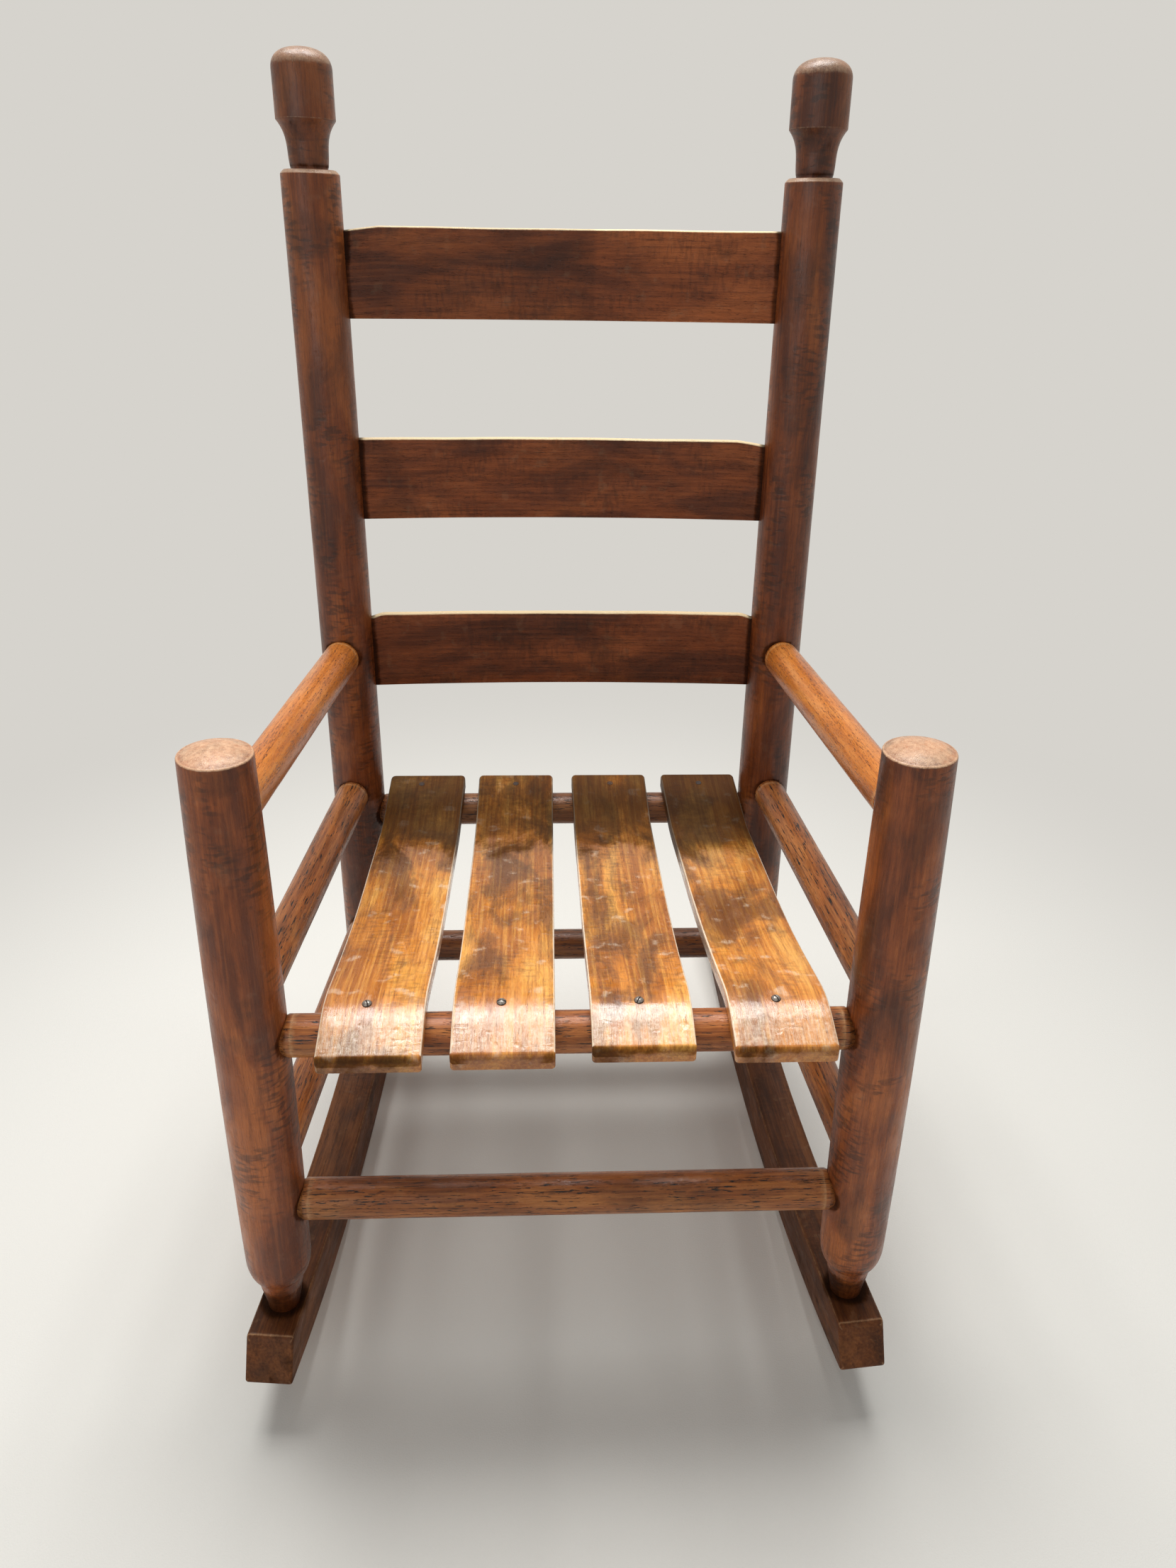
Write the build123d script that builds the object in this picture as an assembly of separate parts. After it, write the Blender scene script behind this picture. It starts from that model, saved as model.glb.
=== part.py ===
from build123d import *
import os
from math import asin, atan2, cos, radians, sin, sqrt, tan

# A ladder-back rocking chair of turned posts, round rungs and bent slats.
# It is laid out with the front posts upright: x to the right as seen from the front, y towards the
# back with y = 0 on the front posts, z up with z = 0 at the lowest point of the rockers' arc.
# The last step leans the whole chair back to the angle at which it comes to rest on its rockers.

# ---------------------------------------------------------------- stance and fits
rest_lean = 10.0  # degrees that the chair leans back when it stands at rest
glue_gap = 0.05  # clearance all round a glued tenon
pilot_gap = 0.2  # clearance all round a screw or a nail
end_gap = 0.5  # space left beyond the end of a tenon
seat_gap = 0.05  # space left between a seat slat and the rung that carries it

# ---------------------------------------------------------------- posts
front_foot_spread = 393.0  # between the front post axes where they stand on the rockers
front_top_spread = 369.0  # between the same axes at the top
front_post_top = 462.0  # height of the front posts' rim
front_post_radii = (21.4, 22.0, 19.7)  # above the foot, half way up and at the top
front_post_dome = 4.0  # rise of the top above its rim
front_rim_round = 1.6

back_foot_spread = 335.0
back_shoulder_spread = 322.5
back_post_setback = 275.0  # from the front posts' feet to the back posts' feet
back_post_rake = 0.8  # degrees that the back posts lean back from the front posts
back_shoulder = 734.4  # height of the shoulder under the finial
back_post_radii = (20.7, 19.6, 18.7)
shoulder_chamfer = 2.4

ankle_radius = 10.9  # the narrow part of every post's foot
ankle_height = 2.0  # where the foot begins to widen as a straight cone
flare_radius = 16.0  # where the foot has widened to the step under its swell
flare_height = 31.0
flare_step = 0.8
swell_height = 50.0  # where the foot reaches the full thickness of the post
foot_tenon_radius = 8.5
foot_tenon_depth = 24.0

# ---------------------------------------------------------------- finials
neck_radius = 11.7
neck_waist_radius = 12.9
neck_waist_height = 12.0
neck_flare_radius = 15.0
neck_flare_height = 21.4
collar_height = 26.9  # of the cap's sharp lower edge above the shoulder
cap_radius = 18.6
cap_side = 26.0  # straight height of the cap
cap_crown = 12.5  # height of its rounded top
cap_turn_radius = 14.0  # of the point where the top's outline turns from steep to flat
cap_turn_height = 9.4  # of that point above the straight side

# ---------------------------------------------------------------- rungs and arms
tenon_radius = 8.0
tenon_past_axis = 5.0  # how far a tenon reaches beyond the axis of its post
shoulder_sink = 4.0  # of the tapered shoulder into the face of its post
shoulder_taper = 5.0  # length of the taper at each shoulder
shoulder_drop = 2.2  # depth of the same taper

seat_rung_height = 275.0  # of the front seat rung
rear_seat_rung_rise = 1.0  # of the rear seat rung above the front one
side_seat_rung_rises = (18.0, 25.0)  # of the side seat rungs, at the front post and at the back post
front_seat_rung_radius = 13.1
rear_seat_rung_radius = 12.9
side_seat_rung_radius = 12.3
lower_rung_height = 138.5  # of the front lower rung
rear_lower_rung_rise = 1.5
side_lower_rung_rises = (18.5, 33.5)
front_lower_rung_radius = 13.4
rear_lower_rung_radius = 13.3
side_lower_rung_radius = 12.8
arm_drops = (42.2, 47.3)  # of the arms below the front posts' rim, at the front and at the back
arm_radius = 13.0

# ---------------------------------------------------------------- back slats
back_slat_thickness = 6.5
slat_mortise_depth = 9.0
clip_drop = 3.0  # height of the cut at a clipped upper corner
back_slats = {
    # drop of the lower edge below the shoulders, width, backward bow, length of the left and right clip
    "top_back_slat": (86.6, 56.0, 9.0, 23.0, 0.0),
    "middle_back_slat": (220.4, 56.5, 10.0, 0.0, 20.0),
    "bottom_back_slat": (348.9, 57.5, 7.0, 9.0, 9.0),
}

# ---------------------------------------------------------------- seat
slat_thickness = 9.6
slat_width = 60.5
slat_front_centres = (-115.0, -39.0, 42.0, 124.0)  # where the slats cross the front rung
slat_rear_centres = (-110.0, -38.0, 38.0, 112.0)  # where they cross the rear rung
nose_corner_radius = 1.5
rear_corner_radius = 4.0
slat_edge_round = 1.2
nose_overhangs = (34.0, 33.2, 30.2, 31.5)  # of the front ends from the front rung's axis
nose_slope = 23.5  # degrees that the nose drops towards its end
nose_bend_radius = 45.0  # of the underside over the front rung
crest_setback = 7.5  # of the seat's highest line behind the front rung's axis
fall_slope = 8.0  # degrees that the seat falls behind the crest
dish_bend_radius = 690.0
seat_dish = 9.7  # depth of the underside below the top of the front rung
hollow_bend_radius = 100.0
rear_slope = 12.0  # degrees that the seat rises to its rear end, over the rear rung
rear_overhang = 11.5

screw_shank_radius = 1.5
screw_head_radius = 2.9
screw_head_rise = 1.7
screw_bite = 14.0  # length of the shank inside the rung
screw_offsets = (-4.5, -1.5, -1.0, -1.0)  # of each screw from the middle of its slat
nail_shank_radius = 1.1
nail_head_radius = 2.2
nail_head_thickness = 1.0
nail_set = 1.2  # depth of the nail's head below the face of the slat
nail_bite = 14.0
nail_offsets = (-4.5, 0.0, 1.0, 0.0)

# ---------------------------------------------------------------- rockers
rocker_radius = 708.0  # of the running edge
rocker_low_point = 88.4  # of the running edge behind the front feet while the posts stand upright
rocker_height = 38.0
rocker_width = 32.0
rocker_flat_start = 59.0  # behind the front feet, where the upper edge turns straight
rocker_front_reach = 44.8  # of the running edge in front of the front feet
rocker_front_slant = 14.8  # how far the end's upper edge stands back from its lower edge
rocker_rear_reach = 134.0  # of the running edge behind the back feet
rocker_end_round = 3.0
rocker_edge_chamfer = 1.2
front_foot_inset = 1.0  # of the foot from the middle of the rocker, towards the inside
back_foot_inset = 4.8


# ---------------------------------------------------------------- rocker lines
def rocker_points(side):
    """The middle of the rocker under the front foot and under the back foot."""
    front = Vector(side * (front_foot_spread / 2 + front_foot_inset), 0, 0)
    back = Vector(side * (back_foot_spread / 2 + back_foot_inset), back_post_setback, 0)
    return front, back


def rocker_plane(side):
    """Upright plane along the rocker: x runs back from the front foot, y runs up."""
    front, back = rocker_points(side)
    along = (back - front).normalized()
    return Plane(origin=front, x_dir=along, z_dir=along.cross(Vector(0, 0, 1)))


def running_edge(s):
    """Height of the rocker's lower edge at a distance behind the front foot."""
    return rocker_radius - sqrt(rocker_radius**2 - (s - rocker_low_point) ** 2)


def upper_edge(s):
    """Height of the rocker's upper edge: an arc, then a straight pad under the front foot."""
    inner = rocker_radius - rocker_height
    run = rocker_flat_start - rocker_low_point
    start = rocker_radius - sqrt(inner**2 - run**2)
    if s < rocker_flat_start:
        return start + (s - rocker_flat_start) * run / sqrt(inner**2 - run**2)
    return rocker_radius - sqrt(inner**2 - (s - rocker_low_point) ** 2)


def back_foot_distance():
    front, back = rocker_points(1)
    return (back - front).length


def rocker_blank(side, width):
    """The sawn rocker without mortises; its rear end is cut square to the running edge."""
    front = -rocker_front_reach
    rear = back_foot_distance() + rocker_rear_reach
    shrink = (rocker_radius - rocker_height) / rocker_radius
    rear_top = rocker_low_point + (rear - rocker_low_point) * shrink
    front_top = front + rocker_front_slant
    lower = [(s, running_edge(s)) for s in (front, rocker_low_point, rear)]
    upper = [(s, upper_edge(s)) for s in (rear_top, (rear_top + rocker_flat_start) / 2, rocker_flat_start)]
    nose = (front_top, upper_edge(front_top))
    outline = (
        ThreePointArc(*lower)
        + Line(lower[-1], upper[0])
        + ThreePointArc(*upper)
        + Line(upper[-1], nose)
        + Line(nose, lower[0])
    )
    face = rocker_plane(side) * make_face(outline)
    return extrude(face, amount=width / 2, both=True)


def rocker(side):
    blank = rocker_blank(side, rocker_width)
    ends = blank.edges().filter_by(GeomType.LINE).filter_by(lambda e: abs(e.length - rocker_width) < 1e-3)
    ends = [e for e in ends if not rocker_flat_start / 2 < e.center().Y < rocker_flat_start * 1.5]
    blank = fillet(ends, rocker_end_round)
    flats = blank.faces().filter_by(lambda f: abs(f.normal_at().dot(rocker_plane(side).z_dir)) > 0.999)
    return chamfer(flats.edges(), rocker_edge_chamfer)


# ---------------------------------------------------------------- posts
def front_axis(side):
    foot = Vector(side * front_foot_spread / 2, 0, upper_edge(0))
    return foot, Vector(side * front_top_spread / 2, 0, front_post_top)


def back_axis(side):
    foot_height = upper_edge(back_foot_distance())
    setback = back_post_setback + (back_shoulder - foot_height) * tan(radians(back_post_rake))
    foot = Vector(side * back_foot_spread / 2, back_post_setback, foot_height)
    return foot, Vector(side * back_shoulder_spread / 2, setback, back_shoulder)


def at_height(axis, z):
    foot, top = axis
    return foot + (top - foot) * ((z - foot.Z) / (top.Z - foot.Z))


def radius_at(axis, radii, z):
    """Post radius between the foot's swell and the top, by straight lines through the three radii."""
    foot, top = axis
    share = (z - foot.Z) / (top.Z - foot.Z) * 2
    low, middle, high = radii
    return low + (middle - low) * share if share < 1 else middle + (high - middle) * (share - 1)


def post(axis, radii, side, crown):
    """A turned post on its axis, its foot cut to the rocker's upper edge, with a round tenon below."""
    foot, top = axis
    length = (top - foot).length
    low, middle, high = radii
    below = -foot_tenon_depth
    crown_edges, crown_radius, crown_height = crown(high, length)
    outline = (
        Line((0, below), (ankle_radius, below))
        + Line((ankle_radius, below), (ankle_radius, ankle_height))
        + Line((ankle_radius, ankle_height), (flare_radius, flare_height))
        + Line((flare_radius, flare_height), (flare_radius + flare_step, flare_height))
        + Spline(
            (flare_radius + flare_step, flare_height), (low, swell_height), tangents=((0.6, 1), (0, 1))
        )
        + Spline((low, swell_height), (middle, length / 2), (crown_radius, crown_height))
        + crown_edges
        + Line((0, crown_edges.position_at(1).Y), (0, below))
    )
    turned = revolve(Plane.XZ * make_face(outline), Axis.Z)
    place = Plane(origin=foot, z_dir=top - foot)
    waste = Pos(0, 0, glue_gap) * rocker_blank(side, 6 * rocker_width)
    standing = (place * turned) - waste
    return standing + place * foot_tenon(0, 0)


def foot_tenon(gap, beyond):
    """The round tenon under a post; with a gap it is the tool for its mortise."""
    depth = foot_tenon_depth + beyond
    up = flare_height / 2
    return Pos(0, 0, -depth) * Cylinder(
        foot_tenon_radius + gap, depth + up, align=(Align.CENTER, Align.CENTER, Align.MIN)
    )


def dome(radius, base, rise):
    """Half the outline of a spherical cap, from its rim to the axis."""
    ball = (radius**2 + rise**2) / (2 * rise)
    turn = asin(radius / ball) / 2
    return ThreePointArc(
        (radius, base), (ball * sin(turn), base + rise - ball * (1 - cos(turn))), (0, base + rise)
    )


def domed_top(radius, length):
    inner = radius - front_rim_round
    edges = RadiusArc((radius, length - front_rim_round), (inner, length), -front_rim_round)
    return edges + dome(inner, length, front_post_dome), radius, length - front_rim_round


def finial(radius, length):
    """Chamfered shoulder, waisted neck flaring to a sharp collar edge, and a round-topped cap."""
    rim = length + collar_height + cap_side
    edges = (
        Line((radius, length - shoulder_chamfer), (radius - shoulder_chamfer, length))
        + Line((radius - shoulder_chamfer, length), (neck_radius, length))
        + Spline(
            (neck_radius, length),
            (neck_waist_radius, length + neck_waist_height),
            (neck_flare_radius, length + neck_flare_height),
            (cap_radius, length + collar_height),
        )
        + Line((cap_radius, length + collar_height), (cap_radius, rim))
        + Spline(
            (cap_radius, rim),
            (cap_turn_radius, rim + cap_turn_height),
            (0, rim + cap_crown),
            tangents=((0, 1), (-1, 0)),
        )
    )
    return edges, radius, length - shoulder_chamfer


# ---------------------------------------------------------------- rungs and arms
def stick_frame(start, end):
    """Plane on the start point with z along the stick, and the stick's length between the post axes."""
    return Plane(origin=start, z_dir=end - start), (end - start).length


def stick(start, end, radius, start_face, end_face, gap=0.0):
    """A round stick with a tapered shoulder and a round tenon at each end; with a gap, its socket tool."""
    frame, length = stick_frame(start, end)
    low, high = start_face - shoulder_sink - gap, length - end_face + shoulder_sink + gap
    past = tenon_past_axis + (end_gap if gap else 0)
    small, tenon = radius - shoulder_drop + gap, tenon_radius + gap
    outline = Polyline(
        (0, -past),
        (tenon, -past),
        (tenon, low),
        (small, low),
        (radius + gap, low + shoulder_taper),
        (radius + gap, high - shoulder_taper),
        (small, high),
        (tenon, high),
        (tenon, length + past),
        (0, length + past),
        close=True,
    )
    return frame * revolve(Plane.XZ * make_face(outline), Axis.Z)


# ---------------------------------------------------------------- back slats
def back_slat(drop, width, bow, clip_left, clip_right, gap):
    """A board bent backward, standing in the plane of the back posts; with a gap, its mortise tool."""
    lower = back_shoulder - drop
    middle = at_height(back_axis(1), lower + width / 2)
    reach = middle.X - radius_at(back_axis(1), back_post_radii, middle.Z) + slat_mortise_depth
    reach += end_gap if gap else 0
    bend = (middle.X**2 + bow**2) / (2 * bow)
    centre = bow - bend
    half = back_slat_thickness / 2 + gap
    inner, outer = bend - half, bend + half
    turn_inner, turn_outer = asin(reach / inner), asin(reach / outer)

    def on_arc(radius, turn):
        return radius * sin(turn), centre + radius * cos(turn)

    plan = (
        ThreePointArc(on_arc(inner, -turn_inner), on_arc(inner, 0), on_arc(inner, turn_inner))
        + Line(on_arc(inner, turn_inner), on_arc(outer, turn_outer))
        + ThreePointArc(on_arc(outer, turn_outer), on_arc(outer, 0), on_arc(outer, -turn_outer))
        + Line(on_arc(outer, -turn_outer), on_arc(inner, -turn_inner))
    )
    board = Pos(0, 0, -gap) * extrude(make_face(plan), amount=width + 2 * gap)
    for side, clip in ((-1, clip_left), (1, clip_right)):
        if clip:
            face_x = middle.X - radius_at(back_axis(1), back_post_radii, middle.Z)
            top = width + gap
            wedge = Plane.XZ * make_face(
                Polyline(
                    (side * (face_x - clip), top),
                    (side * face_x, top - clip_drop),
                    (side * (reach + 1), top - clip_drop),
                    (side * (reach + 1), top + 1),
                    (side * (face_x - clip), top + 1),
                    close=True,
                )
            )
            board -= extrude(wedge, amount=60, both=True)
    stand = at_height(back_axis(1), lower)
    lean = radians(back_post_rake)
    frame = Plane(origin=(0, stand.Y, lower), x_dir=(1, 0, 0), z_dir=(0, sin(lean), cos(lean)))
    return frame * board


# ---------------------------------------------------------------- seat slats
def rear_rung():
    """Where the rear seat rung's axis lies, as (y, z)."""
    height = seat_rung_height + rear_seat_rung_rise
    return at_height(back_axis(1), height).Y, height


def seat_bends():
    """Centres of the underside's three bends, front to back, as (y, z)."""
    rear_y, rear_z = rear_rung()
    floor = seat_rung_height + front_seat_rung_radius - seat_dish
    reach = nose_bend_radius - front_seat_rung_radius - seat_gap
    fall, rise = radians(fall_slope), radians(rear_slope)
    nose_y, nose_z = crest_setback, seat_rung_height - sqrt(reach**2 - crest_setback**2)
    dish_z, hollow_z = floor + dish_bend_radius, floor + hollow_bend_radius
    dish_y = nose_y + (nose_bend_radius + dish_bend_radius - cos(fall) * (dish_z - nose_z)) / sin(fall)
    above_rung = hollow_bend_radius + rear_seat_rung_radius + seat_gap
    hollow_y = rear_y + (cos(rise) * (hollow_z - rear_z) - above_rung) / sin(rise)
    return (nose_y, nose_z), (dish_y, dish_z), (hollow_y, hollow_z)


def seat_edge(lift, overhang):
    """Corners and bends of one face of a slat, front to back; lift is 0 below, the thickness above."""
    nose, dish, hollow = seat_bends()
    drop, fall, rise = radians(nose_slope), radians(fall_slope), radians(rear_slope)

    def bend(centre, radius, first, last):
        turns = (first, (first + last) / 2, last)
        return [(centre[0] + radius * sin(turn), centre[1] + radius * cos(turn)) for turn in turns]

    bends = [
        bend(nose, nose_bend_radius + lift, -drop, fall),
        bend(dish, lift - dish_bend_radius, fall, 0),
        bend(hollow, lift - hollow_bend_radius, 0, -rise),
    ]
    (front_y, front_z), (rear_y, rear_z) = bends[0][0], bends[-1][-1]
    front = (-overhang, front_z - (front_y + overhang) * tan(drop))
    end = rear_rung()[0] + rear_overhang
    return front, bends, (end, rear_z + (end - rear_y) * tan(rise))


def seat_surface(y):
    """Height and turn of the seat's upper face, on its front bend or on its rear rise."""
    if y < back_post_setback / 2:
        nose = seat_bends()[0]
        turn = asin((y - nose[0]) / (nose_bend_radius + slat_thickness))
        return nose[1] + (nose_bend_radius + slat_thickness) * cos(turn), turn
    _, _, (end_y, end_z) = seat_edge(slat_thickness, 0)
    return end_z - (end_y - y) * tan(radians(rear_slope)), -radians(rear_slope)


def slat_middle(index, y):
    """Distance of the middle line of a slat from the middle of the chair."""
    front_x, rear_x = slat_front_centres[index], slat_rear_centres[index]
    return front_x + (rear_x - front_x) * y / rear_rung()[0]


def seat_slat(index):
    """A strip bent over both rungs, its sides fanned out towards the front."""
    edges = []
    ends = []
    for lift in (0, slat_thickness):
        front, bends, rear = seat_edge(lift, nose_overhangs[index])
        stops = [front, *(point for bend in bends for point in (bend[0], bend[-1])), rear]
        edges += [Line(stops[k], stops[k + 1]) for k in range(0, len(stops), 2)]
        edges += [ThreePointArc(*bend) for bend in bends]
        ends.append((front, rear))
    edges += [Line(under, over) for under, over in zip(*ends)]
    strip = extrude(Plane.YZ * make_face(Wire(edges)), amount=2 * front_foot_spread, both=True)
    front, back = -2 * nose_overhangs[index], back_post_setback + 4 * rear_overhang
    fan = atan2(slat_middle(index, back) - slat_middle(index, front), back - front)
    half = slat_width / 2 / cos(fan)
    sides = Polyline(
        (slat_middle(index, front) - half, front),
        (slat_middle(index, front) + half, front),
        (slat_middle(index, back) + half, back),
        (slat_middle(index, back) - half, back),
        close=True,
    )
    slat = strip & extrude(make_face(sides), amount=2 * front_post_top)
    for end, radius in ((-1, nose_corner_radius), (1, rear_corner_radius)):
        plumb = slat.edges().filter_by(GeomType.LINE).filter_by(lambda e: e.length < slat_thickness * 1.2)
        slat = fillet([edge for edge in plumb if edge.center().Y * end > 0], radius)
    flank = Vector(cos(fan), -sin(fan), 0)
    flats = slat.faces().filter_by(lambda f: abs(f.normal_at().dot(flank)) > 0.999)
    return fillet(flats.edges().filter_by(lambda e: e.length > slat_thickness * 1.2), slat_edge_round)


# ---------------------------------------------------------------- screws and nails
def fastener_frame(index, y, offset):
    """Plane on the slat's upper face, square to it, where a screw or nail is driven."""
    height, turn = seat_surface(y)
    point = Vector(slat_middle(index, y) + offset, y, height)
    return Plane(origin=point, x_dir=(1, 0, 0), z_dir=(0, sin(turn), cos(turn)))


def down(radius, top, depth):
    """A round pin or hole from a height above the slat's face down to a depth below it."""
    return Pos(0, 0, -depth) * Cylinder(
        radius, depth + top, align=(Align.CENTER, Align.CENTER, Align.MIN)
    )


def screw():
    depth = slat_thickness + screw_bite
    outline = (
        Line((0, -depth), (screw_shank_radius, -depth))
        + Line((screw_shank_radius, -depth), (screw_shank_radius, seat_gap))
        + Line((screw_shank_radius, seat_gap), (screw_head_radius, seat_gap))
        + dome(screw_head_radius, seat_gap, screw_head_rise)
        + Line((0, seat_gap + screw_head_rise), (0, -depth))
    )
    return revolve(Plane.XZ * make_face(outline), Axis.Z)


def nail():
    depth = slat_thickness + nail_bite
    under_head = -nail_set - nail_head_thickness
    outline = Polyline(
        (0, -depth),
        (nail_shank_radius, -depth),
        (nail_shank_radius, under_head),
        (nail_head_radius, under_head),
        (nail_head_radius, -nail_set),
        (0, -nail_set),
        close=True,
    )
    return revolve(Plane.XZ * make_face(outline), Axis.Z)


# ---------------------------------------------------------------- assembly
def build_chair():
    chair = {}
    axes = {}
    radii = {}
    for name, side in (("left", -1), ("right", 1)):
        for row, axis, sizes, crown in (
            ("front", front_axis(side), front_post_radii, domed_top),
            ("back", back_axis(side), back_post_radii, finial),
        ):
            node = f"{row}_post_{name}"
            axes[node], radii[node] = axis, sizes
            chair[node] = post(axis, sizes, side, crown)
        chair[f"rocker_{name}"] = rocker(side)
        for row, axis in (("front", front_axis(side)), ("back", back_axis(side))):
            place = Plane(origin=axis[0], z_dir=axis[1] - axis[0])
            chair[f"rocker_{name}"] -= place * foot_tenon(glue_gap, end_gap)

    def add_stick(node, start_post, end_post, heights, radius):
        posts = (start_post, end_post)
        start, end = (at_height(axes[p], z) for p, z in zip(posts, heights))
        faces = [radius_at(axes[p], radii[p], z) for p, z in zip(posts, heights)]
        chair[node] = stick(start, end, radius, *faces)
        for p in posts:
            chair[p] -= stick(start, end, radius, *faces, gap=glue_gap)

    for node, row, height, radius in (
        ("front_seat_rung", "front", seat_rung_height, front_seat_rung_radius),
        ("front_lower_rung", "front", lower_rung_height, front_lower_rung_radius),
        ("rear_seat_rung", "back", rear_rung()[1], rear_seat_rung_radius),
        ("rear_lower_rung", "back", lower_rung_height + rear_lower_rung_rise, rear_lower_rung_radius),
    ):
        add_stick(node, f"{row}_post_left", f"{row}_post_right", (height, height), radius)
    for name in ("left", "right"):
        for node, heights, radius in (
            (f"arm_{name}", [front_post_top - drop for drop in arm_drops], arm_radius),
            (
                f"side_seat_rung_{name}",
                [seat_rung_height + rise for rise in side_seat_rung_rises],
                side_seat_rung_radius,
            ),
            (
                f"side_lower_rung_{name}",
                [lower_rung_height + rise for rise in side_lower_rung_rises],
                side_lower_rung_radius,
            ),
        ):
            add_stick(node, f"front_post_{name}", f"back_post_{name}", heights, radius)

    for node, sizes in back_slats.items():
        chair[node] = back_slat(*sizes, 0)
        for name in ("left", "right"):
            chair[f"back_post_{name}"] -= back_slat(*sizes, glue_gap)

    screws, nails = [], []
    for index in range(len(slat_front_centres)):
        slat = seat_slat(index)
        front = fastener_frame(index, 0, screw_offsets[index])
        screws.append(front * screw())
        hole = front * down(screw_shank_radius + pilot_gap, 5, slat_thickness + screw_bite + end_gap)
        slat -= hole
        chair["front_seat_rung"] -= hole
        rear = fastener_frame(index, rear_rung()[0], nail_offsets[index])
        nails.append(rear * nail())
        hole = rear * down(nail_shank_radius + pilot_gap, 5, slat_thickness + nail_bite + end_gap)
        slat -= hole
        slat -= rear * down(nail_head_radius + pilot_gap, 5, nail_set + nail_head_thickness + seat_gap)
        chair["rear_seat_rung"] -= hole
        chair[f"seat_slat_{index + 1}"] = slat
    chair["front_slat_screws"] = Compound([pin.solid() for pin in screws])
    chair["rear_slat_nails"] = Compound([pin.solid() for pin in nails])
    return chair


def stand_at_rest(chair):
    """Lean the chair back, stand its rockers on the floor and centre it over the origin."""
    leaned = {name: Rot(-rest_lean, 0, 0) * shape for name, shape in chair.items()}
    boxes = [shape.bounding_box() for shape in leaned.values()]
    floor = min(box.min.Z for box in boxes)
    middle = (min(box.min.Y for box in boxes) + max(box.max.Y for box in boxes)) / 2
    return {name: Pos(0, -middle, -floor) * shape for name, shape in leaned.items()}


os.makedirs("parts", exist_ok=True)
for node_name, node_shape in stand_at_rest(build_chair()).items():
    export_step(node_shape, f"parts/{node_name}.step")
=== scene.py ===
import math

import bpy
import numpy as np
from mathutils import Matrix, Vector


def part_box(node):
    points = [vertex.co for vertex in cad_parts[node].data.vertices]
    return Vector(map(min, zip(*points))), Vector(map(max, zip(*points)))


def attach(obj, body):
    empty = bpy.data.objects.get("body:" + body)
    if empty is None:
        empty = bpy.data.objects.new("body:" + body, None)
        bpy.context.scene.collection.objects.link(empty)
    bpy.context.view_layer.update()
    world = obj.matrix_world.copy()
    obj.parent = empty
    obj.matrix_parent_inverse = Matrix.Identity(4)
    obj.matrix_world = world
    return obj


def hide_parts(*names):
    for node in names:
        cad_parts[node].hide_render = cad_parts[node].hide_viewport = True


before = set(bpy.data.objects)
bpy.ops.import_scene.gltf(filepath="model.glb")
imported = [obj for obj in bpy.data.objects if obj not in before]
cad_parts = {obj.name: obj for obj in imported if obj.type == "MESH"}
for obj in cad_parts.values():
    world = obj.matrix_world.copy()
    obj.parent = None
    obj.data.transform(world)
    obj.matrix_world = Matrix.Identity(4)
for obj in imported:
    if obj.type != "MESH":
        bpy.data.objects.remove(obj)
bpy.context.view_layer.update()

bl_info = {
    "name": "Ladder-Back Rocking Chair",
    "version": (1, 0, 0),
    "blender": (4, 5, 0),
    "location": "View3D > Sidebar > Rocking Chair",
    "description": "Turned posts, bent slats and worn varnish for a small ladder-back rocking chair",
    "category": "Add Mesh",
}

# Shapes are worked out on the chair as it is framed up, with its front posts upright: x to the
# right as seen from the front, y back from the front posts' feet, z up from the lowest point of
# the rockers. stand() then leans them back as the chair rests. All lengths are in metres.

MM = 0.001
SIDES = (("left", -1), ("right", 1))
# Where the camera stands, on the chair as it is framed up, and its heading, dip and roll.
CAMERA_PLACE = np.array([-14.136, -512.021, 709.385]) * MM
CAMERA_TURN = (0.0444697, 0.4793431, 0.0156900)


# ---------------------------------------------------------------- kinds of settings
def paint(red, green, blue):
    """A colour as a screen shows it, 0 to 255, in Blender's linear values, by the sRGB curve."""
    shown = np.array((red, green, blue)) / 255
    linear = np.where(shown < 0.04045, shown / 12.92, ((shown + 0.055) / 1.055) ** 2.4)
    return (*linear.tolist(), 1.0)


def settings(group):
    """The scene's settings of one group, such as frame or seat."""
    return getattr(bpy.context.scene, "chair_" + group)


def length(name, millimetres, description):
    return bpy.props.FloatProperty(
        name=name, description=description, default=millimetres * MM, unit="LENGTH", precision=4
    )


def lengths(name, millimetres, description):
    return bpy.props.FloatVectorProperty(
        name=name,
        description=description,
        default=[value * MM for value in millimetres],
        size=len(millimetres),
        unit="LENGTH",
        precision=4,
    )


def angle(name, degrees, description):
    return bpy.props.FloatProperty(
        name=name, description=description, default=math.radians(degrees), subtype="ANGLE"
    )


def measure(name, value, description, unit):
    return bpy.props.FloatProperty(name=name, description=description, default=value, unit=unit)


def share(name, value, description):
    return bpy.props.FloatProperty(
        name=name, description=description, default=value, subtype="FACTOR", min=0, soft_max=1
    )


def colour(name, red, green, blue, description):
    return bpy.props.FloatVectorProperty(
        name=name,
        description=description,
        default=paint(red, green, blue),
        subtype="COLOR",
        size=4,
        min=0,
        max=1,
    )


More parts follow.
